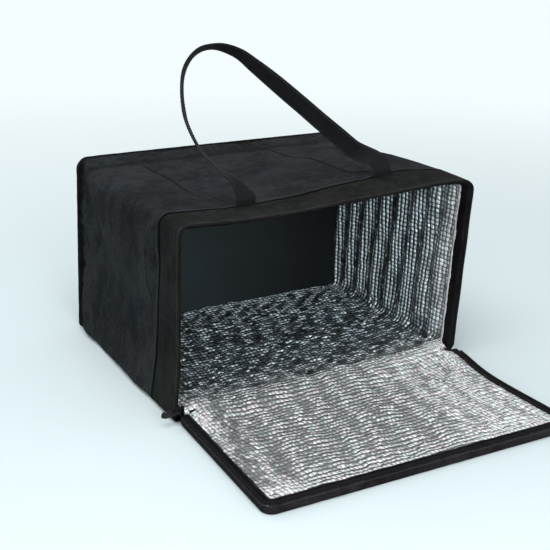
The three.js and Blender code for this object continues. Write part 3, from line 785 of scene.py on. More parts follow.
def laid_grid(name, rows, outward, sheet=None, crest=None, closed=False):
    """A grid primitive whose points are laid at rows[row, column]. outward gives the side that shows, sheet
    the lengths along and across for the UV map and crest a value a point, kept as the Crest attribute: for
    the foil its plumpness, which also sets its painted highlights, and for the fabric its painted shade."""
    count_y, count_x = rows.shape[:2]
    only()
    bpy.ops.mesh.primitive_grid_add(x_subdivisions=count_x - 1, y_subdivisions=count_y - 1, size=2)
    item = bpy.context.object
    item.name = item.data.name = name
    flat = coordinates(item)
    i = np.rint((flat[:, 0] + 1) / 2 * (count_x - 1)).astype(int)
    j = np.rint((flat[:, 1] + 1) / 2 * (count_y - 1)).astype(int)
    set_coordinates(item, rows[j, i])
    mesh = item.data
    corners = np.zeros(len(mesh.loops), int)
    mesh.loops.foreach_get("vertex_index", corners)
    if sheet is not None:
        mesh.uv_layers.active.name = "Sheet"
        lengths = sheet[j, i][corners]
        mesh.uv_layers["Sheet"].data.foreach_set("uv", lengths.astype(np.float32).ravel())
    if crest is not None:
        attribute = mesh.attributes.new("Crest", "FLOAT", "POINT")
        attribute.data.foreach_set("value", crest[j, i].astype(np.float32))
    normals = np.zeros(len(mesh.polygons) * 3)
    mesh.polygons.foreach_get("normal", normals)
    first = np.zeros(len(mesh.polygons), int)
    mesh.polygons.foreach_get("loop_start", first)
    wanted = outward[j, i][corners[first]]
    jobs = []
    if np.sum(normals.reshape(-1, 3) * wanted) < 0:
        jobs.append(lambda: bpy.ops.mesh.flip_normals())
    if closed:
        jobs.append(lambda: bpy.ops.mesh.remove_doubles(threshold=1e-6))
    if jobs:
        in_edit(item, *jobs)
    return item


def normals_of(rows, closed=False):
    """Normals of a lofted grid of points, from its own slopes"""
    along = np.gradient(rows, axis=1)
    if closed:
        edge = rows[:, 1] - rows[:, -2]
        along[:, 0] = along[:, -1] = edge / 2
    across = np.gradient(rows, axis=0)
    n = np.cross(along, across)
    return n / np.maximum(np.linalg.norm(n, axis=2, keepdims=True), 1e-12)


def turned_to(out, wanted, rows=slice(None)):
    """Normals, turned over if those of the given rows point away from the wanted side"""
    return -out if np.sum(out[rows] * wanted) < 0 else out


def one_way(rows, axis, sign=1):
    """The same direction for every point: 0, 1 or 2 for X, Y or Z"""
    out = np.zeros_like(rows)
    out[..., axis] = sign
    return out


def sheet_lengths(rows):
    """Lengths along and across a lofted grid, for its UV map"""
    along = np.linalg.norm(np.diff(rows, axis=1), axis=2)
    across = np.linalg.norm(np.diff(rows, axis=0), axis=2)
    u = np.concatenate([np.zeros((rows.shape[0], 1)), np.cumsum(along, 1)], 1)
    v = np.concatenate([np.zeros((1, rows.shape[1])), np.cumsum(across, 0)], 0)
    middle = rows.shape[0] // 2
    return np.stack([np.broadcast_to(u[middle], u.shape), v], 2)


def capped(item):
    """Fills the open ends of a strip or tube"""
    in_edit(item, lambda: bpy.ops.mesh.select_all(action="DESELECT"),
            lambda: bpy.ops.mesh.select_non_manifold(), lambda: bpy.ops.mesh.edge_face_add())
    return item


def tube(name, path, radius, sides=8, closed=False):
    """A round tube along a path of points; radius may be one value a point"""
    path = np.asarray(path, float)
    radius = np.broadcast_to(np.asarray(radius, float), (len(path),))
    tangent = np.gradient(path, axis=0)
    if closed:
        tangent[0] = tangent[-1] = path[1] - path[-2]
    tangent /= np.linalg.norm(tangent, axis=1, keepdims=True)
    side = np.cross(tangent[0], [0.0, 0.1, 1.0] if abs(tangent[0][2]) < 0.9 else [0.0, 1.0, 0.1])
    frames = []
    for t in tangent:
        side = side - t * side.dot(t)
        side /= np.linalg.norm(side)
        frames.append((side.copy(), np.cross(t, side)))
    if closed:
        frames[-1] = frames[0]
    rings = []
    for k in range(sides + 1):
        angle = 2 * math.pi * k / sides
        rings.append([p + r * (math.cos(angle) * a + math.sin(angle) * b)
                      for p, r, (a, b) in zip(path, radius, frames)])
    rows = np.array(rings)
    item = laid_grid(name, rows, rows - path[None], sheet_lengths(rows), closed=True)
    return item if closed else capped(item)


def block(name, low, high, bevel=0.0, segments=2):
    """A cube primitive at its size and place, with its edges bevelled"""
    only()
    middle = [(a + b) / 2 for a, b in zip(low, high)]
    bpy.ops.mesh.primitive_cube_add(size=1, location=middle)
    item = bpy.context.object
    item.name = item.data.name = name
    item.scale = [b - a for a, b in zip(low, high)]
    bpy.ops.object.transform_apply(location=True, rotation=True, scale=True)
    if bevel:
        applied(item, "BEVEL", width=bevel, segments=segments, limit_method="NONE")
    return item


def joined(name, *items):
    """Joins pieces into one mesh"""
    only(*items)
    bpy.ops.object.join()
    item = bpy.context.object
    item.name = item.data.name = name
    return item


def dressed(item, finish, body, slot, nodes=(), angle=50, between=None):
    """Gives a finished piece its material, smooth shading and nodes, and its body unless between is given,
    when its place is only baked; slot is not used
    """
    item.data.materials.clear()
    item.data.materials.append(material(finish))
    only(item)
    bpy.ops.object.shade_smooth_by_angle(angle=math.radians(angle))
    if between:
        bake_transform(item)
    else:
        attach(item, body)
    if nodes:
        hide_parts(*nodes)
    return item


def thick(item, thickness):
    """Gives a sheet its thickness, away from the side that shows"""
    return applied(item, "SOLIDIFY", thickness=thickness, offset=-1.0, use_even_offset=False)


def cloth(name, rows, out, thickness, look, angle=60, closed=False, crest=None):
    """A sewn piece: a sheet laid at rows of points. look is its finish, body, slot and nodes."""
    item = laid_grid(name, rows, out, sheet_lengths(rows), crest, closed)
    return dressed(thick(item, thickness), *look, angle)


# Outer fabric

class Skin:
    """The outer fabric's surface, with the creases of a cloth simulation"""

    def __init__(self):
        self.outline = shell_outline(0, CLOTH_STEPS)
        self.rows_y = np.linspace(SHELL_LOW.y - BAND_WIDTH, SHELL_HIGH.y, 46)
        self.shift = np.zeros((len(self.rows_y), len(self.outline.run), 3))
        self.length = self.outline.run[-1]
        self.simulate()

    def simulate(self):
        """Lets the fabric, cut a little too large, find its own folds between its seams"""
        rows = settle(self.outline.lofted([(0.0, y) for y in self.rows_y]))
        fabric = laid_grid("skin_cloth", rows, self.outline.outward(len(rows)), closed=True)
        places = coordinates(fabric)
        self.hold(fabric, places)
        only(fabric)
        modifier = fabric.modifiers.new("Cloth", "CLOTH")
        settings = modifier.settings
        settings.quality = 7
        settings.mass = 0.25
        settings.tension_stiffness = 30
        settings.compression_stiffness = 30
        settings.shear_stiffness = 12
        settings.bending_stiffness = 2.5
        settings.vertex_group_mass = "Hold"
        settings.pin_stiffness = 1.0
        settings.shrink_min = -0.022
        settings.use_pressure = True
        settings.uniform_pressure_force = 0.35
        settings.effector_weights.gravity = 0.25
        modifier.collision_settings.use_collision = False
        scene = bpy.context.scene
        for number in range(1, 31):
            scene.frame_set(number)
        graph = bpy.context.evaluated_depsgraph_get()
        moved = np.zeros(len(places) * 3)
        fabric.evaluated_get(graph).data.vertices.foreach_get("co", moved)
        self.keep(rows, places, moved.reshape(-1, 3) - places)
        scene.frame_set(1)
        bpy.data.objects.remove(fabric)

    def hold(self, fabric, places):
        """Pins the fabric at its edges and on the ground, and less firmly at the seam and the handles"""
        group = fabric.vertex_groups.new(name="Hold")
        seam = SHELL_LOW.y
        near, far = places[:, 1].min(), places[:, 1].max()
        for index, (x, y, z) in enumerate(places):
            edge = max(bell(y, near, 0.012), bell(y, far, 0.012))
            floor = 1.0 if z < 0.006 else 0.0
            sewn = 0.55 * bell(y, seam, 0.005)
            strap = 0.0
            if z > 0.2:
                feet = (math.hypot(x - foot, y - seam) for foot in (-STRAP_X, STRAP_X))
                strap = 0.8 * max(bell(far_off, 0, 0.016) for far_off in feet)
            group.add([index], min(1.0, 0.035 + max(edge, floor, sewn, strap)), "REPLACE")

    def keep(self, rows, places, shift):
        """Caps the simulated shift and lays it back on the grid: each station finds its own point"""
        size = np.linalg.norm(shift, axis=1, keepdims=True)
        cap = sizes().wrinkle_cap
        shift = shift * (cap * np.tanh(size / cap) / np.maximum(size, 1e-9))
        order = {tuple(np.round(p, 6)): s for p, s in zip(places, shift)}
        stations = np.float32(rows.reshape(-1, 3)).astype(float)
        found = [order.get(tuple(np.round(p, 6)), np.zeros(3)) for p in stations]
        self.shift = np.array(found).reshape(rows.shape)
        self.shift[:, -1] = self.shift[:, 0]

    def wrinkle(self, run, y):
        """Simulated shift at lengths round the outline and places along Y, smoothly sampled"""
        shape = run.shape
        run, y = run.ravel() % self.length, y.ravel()
        column = np.interp(run, self.outline.run, np.arange(len(self.outline.run)))
        row = np.interp(y, self.rows_y, np.arange(len(self.rows_y)))
        first_column, first_row = np.floor(column).astype(int), np.floor(row).astype(int)
        column_weights = self.weights(column - first_column)
        row_weights = self.weights(row - first_row)
        total = np.zeros((len(run), 3))
        for a in range(4):
            rows = np.clip(first_row + a - 1, 0, self.shift.shape[0] - 1)
            for b in range(4):
                columns = (first_column + b - 1) % (self.shift.shape[1] - 1)
                total += self.shift[rows, columns] * (row_weights[a] * column_weights[b])[:, None]
        return total.reshape(*shape, 3)

    @staticmethod
    def weights(t):
        """Shares of the four neighbours of a place, for a smooth curve through them"""
        return (-0.5 * t + t**2 - 0.5 * t**3, 1 - 2.5 * t**2 + 1.5 * t**3,
                0.5 * t + 2 * t**2 - 1.5 * t**3, -0.5 * t**2 + 0.5 * t**3)


def seam_line(points):
    """Where the seam behind the mouth band runs along Y, for each station of an outline"""
    x, z = points[:, 0] / MM, points[:, 1] / MM
    base = SHELL_LOW.y / MM
    left = bell(x, -205, 22) * (5.0 + 19.0 * (1 - z / 240))
    top = ease(z, 225, 241) * (4.5 * ease(x, -60, 120) - 0.6)
    waver = 0.8 * np.sin(x / 21.0) + 0.7 * np.sin(z / 17.0 + 1.0)
    return (base + left + top + waver * ease(z, 8, 30)) * MM


def mouth_edge(points):
    """Where the fabric is folded in at the mouth, for each station of an outline"""
    x, z = points[:, 0] / MM, points[:, 1] / MM
    forward = 2.6 + 1.4 * bell(x, -205, 22) * ease(z, 30, 80)
    waver = 0.35 * np.sin(x / 13.0) + 0.3 * np.sin(z / 11.0)
    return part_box("mouth_band")[0].y - (forward + waver) * MM * ease(z, 4, 14)


def rim_depth(points):
    """Share of its full thickness that the wall keeps at the mouth: it is squeezed flat at left and top"""
    x, z = points[:, 0], points[:, 1]
    right = ease(x, 0.150, 0.192) * (1 - 0.5 * ease(z, 0.215, 0.238))
    return 0.42 + 0.58 * right


def crease_at(y):
    """Places along X of the two sharp folding creases on the top panel"""
    left = -0.1205 + 0.0016 * np.sin(y / 0.024)
    right = 0.0722 + 0.0165 * (1 - ease(y, 0.190, 0.230)) + 0.0125 * (1 - ease(y, 0.070, 0.102))
    return left, right


CREASE_ENDS = ((0.126, 0.292), (0.066, 0.300))


def creased(points):
    """Height of the folds along the creases"""
    x, y, z = (points[..., k] for k in range(3))
    total = np.zeros(x.shape)
    for line, (start, end) in zip(crease_at(y), CREASE_ENDS):
        side = (x - line) / MM
        fade = ease(y, start - 0.006, start + 0.014) * (1 - ease(y, end - 0.03, end))
        fold = 1.1 * bell(side, 3.4, 2.8) - 1.2 * bell(side, -0.4, 1.9) + 0.4 * bell(side, -5, 4)
        total += fold * fade * ease(z, 0.225, 0.238)
    return total * MM


FABRIC_WAVES = [Waves(3, 0.085), Waves(4, 0.034), Waves(5, 0.0125)]


def fabric_height(points, run, seam):
    """Small folds of the outer fabric, out from its surface"""
    x, y, z = (points[..., k] for k in range(3))
    behind = y - seam[None]
    # slow waves, then the seam's pucker, its groove with a swell on either side, and the topstitching
    total = FABRIC_WAVES[0].at(run, y * 0.4) * 0.35 * MM + FABRIC_WAVES[1].at(run, y * 0.6) * 0.09 * MM
    total += FABRIC_WAVES[2].at(run, y) * 0.03 * MM
    pucker = np.sin(run / 0.0043 + 1.7 * np.sin(run / 0.031)) * 0.09
    total += pucker * MM * np.exp(-np.abs(behind) / 0.006)
    total -= 1.0 * MM * np.exp(-(behind / 0.0015) ** 2)
    total += 0.4 * MM * bell(behind, 0.0042, 0.0028) + 0.3 * MM * bell(behind, -0.004, 0.0028)
    total -= 0.3 * MM * bell(behind, 0.0085, 0.0012)
    # an upright fold on the left wall
    side = ease(np.abs(x), 0.185, 0.199)
    fold = bell(y, 0.080, 0.0032) * side * ease(z, 0.03, 0.06) * (1 - ease(z, 0.2, 0.235))
    total -= 0.7 * MM * fold * ease(-x, 0.15, 0.19)
    # short folds that fan out from the handle's feet
    for centre in (-STRAP_X, STRAP_X):
        dx, dy = x - centre, y - (SHELL_LOW.y + 0.006)
        far = np.hypot(dx, dy)
        fan = np.sin(np.arctan2(dy, dx) * 17) * np.exp(-((far - 0.032) / 0.015) ** 2)
        total += 0.28 * MM * fan * ease(z, 0.225, 0.238)
    return total


def outer_fabric(outline, section):
    """Lofts a part of the outer fabric with its folds: gives its points and their normals"""
    rows = outline.lofted(section)
    seam = seam_line(outline.points)
    run = np.broadcast_to(outline.run, rows.shape[:2])
    # the simulated folds fade out at the seam, are weak on the band and weaker round the right handle
    behind = rows[..., 1] - seam[None]
    loose = (1 - 0.92 * np.exp(-(behind / 0.016) ** 2)) * np.where(behind < 0, 0.3, 1.0)
    stiff = ease(rows[..., 0], 0.070, 0.115) * ease(rows[..., 2], 0.15, 0.21)
    loose = loose * (1 - 0.9 * stiff * (1 - ease(rows[..., 1], 0.15, 0.24)))
    wrinkle = kept("Skin", Skin).wrinkle(run, rows[..., 1])
    soft = settle(rows) + wrinkle * loose[..., None]
    out = turned_to(normals_of(soft, True), outline.outward(len(rows)))
    height = fabric_height(rows, run, seam) + creased(soft)
    # rows that are turned in at an edge have no small folds
    inset = np.array([np.max(pair[0]) for pair in section])
    soft = soft + out * (height * ease(-np.abs(inset), -0.0012, -0.0003)[:, None])[..., None]
    soft[..., 2] = np.maximum(soft[..., 2], 0.0006)
    return soft, out


def fabric_shade(outline, rows):
    """Painted shade on the fabric, where shade falls: in the seam's groove, along the topstitch fold on the
    top, beside the piping on the left and in the fold before the piping
    """
    x, y, z = (rows[..., k] for k in range(3))
    behind = (y - seam_line(outline.points)[None]) / MM
    shade = 1.15 * (1 - ease(np.abs(behind - 0.5), 1.0, 3.4))
    left = ease(-x, 0.188, 0.199)
    shade = shade + 0.35 * bell(behind, 9.0, 2.2) * ease(z, 0.225, 0.238)
    shade = shade + 1.1 * left * ease(y, SHELL_HIGH.y - 0.016, SHELL_HIGH.y - 0.010)
    top = ease(z, 0.225, 0.238) * ease(-x, -0.19, -0.12)
    return np.clip(shade + 0.65 * top * bell(y, 0.294, 0.009), 0, 1)


class BAG_OT_shell(bpy.types.Operator):
    """Sew the outer fabric: wrap, mouth band, base panel and piping"""

    bl_idname = "bag.shell"
    bl_label = "Outer fabric"

    def execute(self, context):
        outline = shell_outline(0, FABRIC_STEPS)
        seam = seam_line(outline.points)
        self.wrap(outline, seam)
        self.band(outline, seam)
        self.base()
        self.piping()
        return {"FINISHED"}

    def round_the_box(self, name, outline, section, thickness, look):
        """A part of the outer fabric that is sewn round the box"""
        soft, out = outer_fabric(outline, section)
        shade = fabric_shade(outline, outline.lofted(section))
        cloth(name, soft, out, thickness, look, 70, closed=True, crest=shade)

    def wrap(self, outline, seam):
        """The wrap from the seam to the base, close rows first"""
        back = SHELL_HIGH.y
        near = [seam + d * MM for d in (0.4, 1.1, 2.0, 3.0, 4.2, 5.5, 7.0, 8.5, 10.0, 12.0)]
        far = [near[-1] + (back - near[-1]) * share for share in np.linspace(0, 1, 84)[1:]]
        section = [(1.5 * MM, seam + 2.2 * MM), (0.8 * MM, seam + 0.3 * MM)]
        section += [(0.0, y) for y in near + far] + [(1.4 * MM, back + 0.0006)]
        look = ("Wrap", "shell", "outer_fabric", ["body_wrap", "body_foam"])
        self.round_the_box("body_wrap_fabric", outline, section, 0.0010, look)

    def band(self, outline, seam):
        """The band from the mouth's edge to the seam"""
        edge = mouth_edge(outline.points)
        ahead = [edge + (seam - edge) * share for share in np.linspace(0.03, 0.955, 18)]
        close = [seam - d * MM for d in (1.6, 1.0, 0.4)]
        section = [(1.5 * MM, edge + 4 * MM), (1.35 * MM, edge + 0.8 * MM), (0.8 * MM, edge),
                   (0.2 * MM, edge + 0.3 * MM)]
        section += [(0.0, y) for y in ahead + close]
        section += [(0.8 * MM, seam - 0.1 * MM), (1.5 * MM, seam - 2.0 * MM)]
        look = ("Fabric", "shell", "outer_fabric", ["mouth_band"])
        self.round_the_box("mouth_band_fabric", outline, section, 0.0009, look)

    def base(self):
        """The base panel, puckered along its edge"""
        low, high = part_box("base_panel")
        grid = rounded_plate(low.x, high.x, low.z, high.z, 0.0034, 0.0115, 0.004)
        x, z = grid[..., 0], grid[..., 1]
        soft = settle(np.stack([x, np.full(x.shape, BASE_FACE), z], 2))
        edge = border_distance(x, z, low.x, high.x, low.z, high.z)
        folds = Waves(11, 0.07).at(x, z) * 0.9 + Waves(12, 0.024).at(x, z) * 0.3
        folds += np.sin(x / 0.0023) * 0.3 * np.exp(-edge / 0.008)
        soft[..., 1] += folds * MM * ease(edge, 0, 0.02) - 0.7 * MM * bell(edge, 0.006, 0.0014)
        look = ("Wrap", "shell", "outer_fabric", ["base_panel", "base_foam"])
        cloth("base_panel_fabric", soft, one_way(soft, 1), 0.0011, look, 70)

    def piping(self):
        """The piping round the base, a little uneven"""
        line = shell_outline(0.0001, PIPING_STEPS)
        low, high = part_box("base_piping")
        radius = (high.y - low.y) / 2
        path = settle(line.lofted([(0.0, (low.y + high.y) / 2)]))[0]
        girth = radius * (1 + 0.035 * Waves(21, 0.018).along(line.run))
        path[:, 2] = np.maximum(path[:, 2], radius + 0.0001)
        path[-1], girth[-1] = path[0], girth[0]
        cord = tube("base_piping_cord", path, girth, 12, closed=True)
        dressed(cord, "Piping", "shell", "trim", ["base_piping"], 80)


def rounded_plate(left, right, low, high, low_radius, high_radius, step):
    """A grid of points over a box with rounded corners, as [row, column] of two lengths"""
    count_x = max(8, round((right - left) / step))
    count_z = max(8, round((high - low) / step))

    def ladder(a, b, ra, rb, count):
        near = a + ra * np.linspace(0, 1, 5)[:-1]
        far = b - rb * np.linspace(1, 0, 5)[1:]
        return np.concatenate([near, np.linspace(a + ra, b - rb, count), far])

    wide = max(low_radius, high_radius)
    x = ladder(left, right, wide, wide, count_x)
    z = ladder(low, high, low_radius, high_radius, count_z)
    grid_x, grid_z = np.meshgrid(x, z)
    for sign, side in ((-1, left), (1, right)):
        for up, level, radius in ((-1, low, low_radius), (1, high, high_radius)):
            cx, cz = side - sign * radius, level - up * radius
            a = np.clip((grid_x - cx) * sign / radius, 0, 1)
            b = np.clip((grid_z - cz) * up / radius, 0, 1)
            inside = (a > 0) & (b > 0)
            ax, bz = a * np.sqrt(1 - b * b / 2), b * np.sqrt(1 - a * a / 2)
            grid_x = np.where(inside, cx + sign * ax * radius, grid_x)
            grid_z = np.where(inside, cz + up * bz * radius, grid_z)
    return np.stack([grid_x, grid_z], 2)


# Foil

class Cells:
    """The foil's embossing: rows of pillows, drifting a little, plump here and flat there"""

    def __init__(self, seed):
        self.fade = Waves(seed + 1, 0.06)
        self.patch = Waves(seed + 2, 0.019)
        self.drift = Waves(seed + 3, 0.13)
        self.jitter = Waves(seed + 4, 0.016)
        self.luck = np.random.default_rng(seed).random((512, 2)) - 0.5

    def sheet(self, along, across, slant):
        """The pattern's own lengths, for the UV map; the rows' cells are set off by the slant"""
        moved = self.drift.at(along, across) * 0.0014 + self.jitter.at(along, across) * 0.00025
        slid = self.drift.at(across + 0.7, along) * 0.0015 + self.jitter.at(across + 0.7, along) * 0.0003
        return np.stack([along + slid + slant * across, across + moved], 2)

    def pillow(self, sheet):
        """Height of the pillows from 0 to 1"""
        along, across = sheet[..., 0] / sizes().cell_pitch, sheet[..., 1] / sizes().row_pitch
        return np.abs(np.sin(np.pi * along)) ** 0.6 * np.abs(np.sin(np.pi * across)) ** 1.3

    def uneven(self, along, across):
        """Patches that are plumper or flatter than the rest, from about -1 to 1"""
        return self.patch.at(along, across) * 0.35 + self.fade.at(along, across) * 0.5

    def dashes(self, sheet, phase, spread, fill):
        """Plump stretches along each row, each row with its own: 1 in a dash, 0 between"""
        row = np.floor(sheet[..., 1] / sizes().row_pitch).astype(int) % len(self.luck)
        shift, length = self.luck[row, 0], self.luck[row, 1]
        wave = np.cos(2 * np.pi * (phase + shift * spread)) + length * 0.9 + fill
        wave = wave + self.patch.at(sheet[..., 0], sheet[..., 1]) * 0.3
        return ease(wave, 0.0, 0.5)


CRUSH = [Waves(31, 0.034), Waves(32, 0.016), Waves(33, 0.0085), Waves(34, 0.0048)]


def crushed(along, across, weights):
    """Sharp-ridged crumples of a stiff film"""
    total = 0
    for wave, weight in zip(CRUSH, weights):
        total = total + weight * (1 - 2 * np.abs(np.tanh(wave.at(along, across) * 0.9)))
    return total * MM


class BAG_OT_linings(bpy.types.Operator):
    """Lay the foil linings, the facing round the mouth and the foil over the hinge"""

    bl_idname = "bag.linings"
    bl_label = "Foil linings"

    def execute(self, context):
        self.walls()
        self.hinge_and_lid()
        self.base()
        self.facing()
        return {"FINISHED"}

    def walls(self):
        """The wall lining, one length, kept as four pieces that meet near its corners"""
        pitch_x, pitch_y = sizes().cell_pitch / 4, sizes().row_pitch / 5
        line = shell_outline(LINING_LOW.x - SHELL_LOW.x + 0.0008, (pitch_x,) * 4, 0.012, 0.009)
        stations = np.arange(LINING_LOW.y, LINING_HIGH.y + pitch_y / 2, pitch_y)
        rows = line.lofted([(0.0, y) for y in stations])
        lift, sheet, plump = self.wall_relief(rows, np.broadcast_to(line.run, rows.shape[:2]))
        soft = settle(rows) - line.outward(len(rows)) * lift[..., None]
        self.pieces(line, soft, sheet, plump)

    def wall_relief(self, rows, run):
        """How far the lining stands inwards, its pattern's own lengths and how plump its cells are"""
        x, y, z = (rows[..., k] for k in range(3))
        floor = 1 - ease(z, 0.014, 0.034)
        roof = ease(z, 0.215, 0.232)
        wall = (1 - floor) * (1 - roof)
        # upright billows on the walls, which lean a little, and low ones on the floor
        lean = 0.014 * (1 - np.clip(z / 0.23, 0, 1)) ** 1.3
        sway = 0.4 * Waves(37, 0.16).at(run, y)
        phase = 2 * np.pi * (y - 0.018 - lean) / 0.0357 + sway
        waves = np.sin(phase) + 0.25 * np.sin(phase * 2.1 + 1.3)
        across = np.sin(2 * np.pi * (x + 0.1 * y) / 0.036 + sway)
        lift = waves * sizes().billow * (wall + 0.3 * roof)
        lift += across * 0.5 * MM * floor + Waves(36, 0.11).at(run, y) * 0.8 * MM * floor
        lift += crushed(run, y, (0.7, 0.4, 0.2, 0.1)) * (0.25 + 0.75 * floor)
        # fine gathers in the two lower corners
        corner = bell(z, 0.014, 0.020) * ease(np.abs(x), 0.160, 0.183)
        gathers = np.sin((run + 0.5 * y) / 0.0011 + sway * 2) + 0.6 * np.sin((run - 0.3 * y) / 0.0019)
        lift += gathers * 0.32 * MM * corner
        front, back = LINING_LOW.y, LINING_HIGH.y
        lift *= ease(y, front - 0.002, front + 0.02) * (1 - ease(y, back - 0.02, back + 0.001))
        # the floor rises to the hinge
        hump = ease(-y, -0.062, 0.004) * floor * ease(0.186 - np.abs(x), 0.0, 0.012)
        lift += hump * (HINGE - 0.0105)
        # the cells, plump in upright stripes on the walls and in dashes along the floor's rows; plumpness
        # also sets the painted highlights, so the wall stripes follow the billows' slopes that face the light
        # and the floor's dashes are fuller towards the back
        cells = Cells(41)
        sheet = cells.sheet(run * 0.93, y * 1.06, 0.05)
        bold = 0.35 + 0.65 * ease(y, 0.02, 0.17)
        upright = 0.52 + 0.10 * (1 - bold) + 0.42 * bold * np.cos(phase - 0.5) + 0.16 * cells.uneven(run, y)
        more = 1.2 * bell(y, 0.284, 0.006) + 0.9 * bell(y, 0.037, 0.012) + 0.60 * ease(y, 0.14, 0.24)
        laid = cells.dashes(sheet, (x + 0.1 * y) / 0.030, 0.9, more - 0.45)
        laid = 0.24 + 0.14 * cells.uneven(run, y) + (0.86 - 0.42 * ease(-y, -0.13, -0.03)) * laid
        plump = np.clip(upright * (1 - floor) + laid * floor, 0, 1)
        lift += cells.pillow(sheet) * (0.3 + 0.7 * plump) * sizes().emboss
        return lift, sheet, plump

    def pieces(self, line, soft, sheet, plump):
        """Cuts the wall lining into floor, walls and roof. The outline starts in the floor's middle."""
        x, z = line.points[:-1, 0], line.points[:-1, 1]
        low, high = LINING_LOW.z + 0.016, LINING_HIGH.z - 0.004
        stations = np.arange(len(x))
        left_corner = stations[z > low][0]
        right_corner = stations[(x > 0) & (z <= low)][0]
        upright = (z > low) & (z <= high)

        def reaching(shown):
            """Those stations and one more at either end"""
            columns = stations[shown]
            return np.concatenate([[columns[0] - 1], columns, [columns[-1] + 1]])

        parts = {
            "floor_foil": np.concatenate([stations[right_corner:], stations[:left_corner + 1]]),
            "left_wall_foil": reaching(upright & (x < 0)),
            "roof_foil": reaching(z > high),
            "right_wall_foil": reaching(upright & (x > 0)),
        }
        inward = -line.outward(len(soft))
        for name, columns in parts.items():
            uv = sheet[:, columns].copy()
            if name == "floor_foil":
                # its right half lies at the outline's end, so its lengths are counted back from the start
                uv[..., 0] -= line.run[-1] * (columns > len(x) / 2)
            item = laid_grid(name, soft[:, columns], inward[:, columns], uv, plump[:, columns])
            dressed(item, "Foil", "shell", "foil", ["body_lining"], 80)

    def hinge_and_lid(self):
        """Foil from the floor over the hinge, and on over the lid"""
        low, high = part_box("lid_lining")
        half = high.x - 0.001
        pitch_x, pitch_y = sizes().cell_pitch / 4, sizes().row_pitch / 5
        xs = np.linspace(-half, half, round(2 * half / pitch_x))
        x, y = np.meshgrid(xs, np.arange(LINING_LOW.y + 0.004, low.y, -pitch_y))
        side, front = half - np.abs(x), y - low.y
        border = np.minimum(side, front)
        sway = 0.6 * Waves(38, 0.14).at(x, y)
        slant = x - 0.017 - 0.1 * (y + 0.155)
        # two crumpled patches near the hinge's ends, with modelled crumples and painted highlights
        crumple_and_highlight = bell(x + 0.12 * (y + 0.03), -0.190, 0.012) * bell(y, -0.036, 0.028)
        crumple_and_highlight = crumple_and_highlight + 0.6 * bell(x, 0.186, 0.02) * bell(y, -0.012, 0.018)
        cells = Cells(61)
        sheet = cells.sheet(x, y, 0.18)
        plump = self.lid_plumpness(x, y, front, cells, sheet, slant / 0.0345 + sway / 2 / np.pi) + crumple_and_highlight * 1.4
        folds = self.lid_folds(x, y, border, np.cos(2 * np.pi * slant / 0.0355 + sway))
        folds += crumple_and_highlight * crushed(x * 1.7, y * 1.7, (0.0, 1.0, 1.3, 0.8))
        full = 0.3 + 0.7 * np.minimum(plump, 1)
        relief = cells.pillow(sheet) * full * sizes().emboss * ease(border, 0.004, 0.011)
        z = self.lid_level(y, side, border) + folds + relief
        places = self.lid_places(x, y, np.maximum(z, 0.0103), half)
        out = one_way(places, 2)
        split = int(np.searchsorted(-y[:, 0], 0.036))
        near, far = slice(split + 1), slice(split, None)
        item = laid_grid("hinge_foil", places[near], out[near], sheet[near], plump[near])
        dressed(item, "Foil", ("shell", "lid"), "foil", ["sill_lining"], 80,
                between=((0, MOUTH + 0.012, HINGE), (0, MOUTH - 0.016, HINGE)))
        item = laid_grid("lid_foil", places[far], out[far], sheet[far], plump[far])
        dressed(item, "Foil", "lid", "foil", ["lid_lining", "lid_foam"], 80)

    def lid_plumpness(self, x, y, front, cells, sheet, phase):
        """The cells are plump in dashes, more so at the lid's far edge and at the right and less in a strip
        at the left; since plumpness sets the painted highlights, the lid is painted lighter at its far edge
        and at its right
        """
        near_edge = ease(-front, -0.045, -0.02)
        right = ease(x, 0.03, 0.12)
        fill = 1.3 * near_edge + 0.75 * right + 0.4 * ease(y, -0.05, -0.01)
        plump = cells.dashes(sheet, phase, 0.34, fill)
        plump = 0.46 + 0.04 * right + (0.44 - 0.04 * right) * plump
        strip = ease(-x, 0.120, 0.150) * (1 - near_edge)
        return plump - 0.30 * strip * plump

    def lid_folds(self, x, y, border, across):
        """Billows and crumples, calm at the border"""
        calm = ease(border, 0.006, 0.018)
        folds = crushed(x + 0.4, y, (0.7, 0.45, 0.25, 0.12)) * 0.75 * calm
        return folds + (Waves(71, 0.085).at(x, y) * 0.8 + across * 0.55) * MM * calm

    def lid_level(self, y, side, border):
        """Height along Y: floor, ridge over the hinge, lid, with a roll along the lid's border"""
        floor_z = LINING_LOW.z + 0.0013
        ridge = HINGE + 0.0006
        lid_z = 0.0112 + 0.0015 * ease(border, 0.004, 0.012) * (1 - ease(border, 0.012, 0.024))
        behind = ridge + (floor_z - ridge) * ease(y, MOUTH, 0.058)
        z = np.where(y > MOUTH, behind, ridge + (lid_z - ridge) * ease(-y, 0.006, 0.050))
        drop = (1 - ease(side, 0.008, 0.022)) * ease(-y, 0.004, 0.013)
        return z + (np.minimum(z, 0.0118) - z) * drop

    def lid_places(self, x, y, z, half):
        """Laid out with the shell on one side of the hinge and with the lid on the other"""
        places = np.stack([x, y, z], 2)
        share = ease(MOUTH - y, -0.004, 0.006)[..., None]
        reach = settle(places) * (1 - share) + settle_lid(places) * share
        places[..., :2] = reach[..., :2]
        places[..., 2] += hinge_rise(x / MM, np.clip((MOUTH - y) / (LID_DEPTH * MM), 0, 1)) * MM
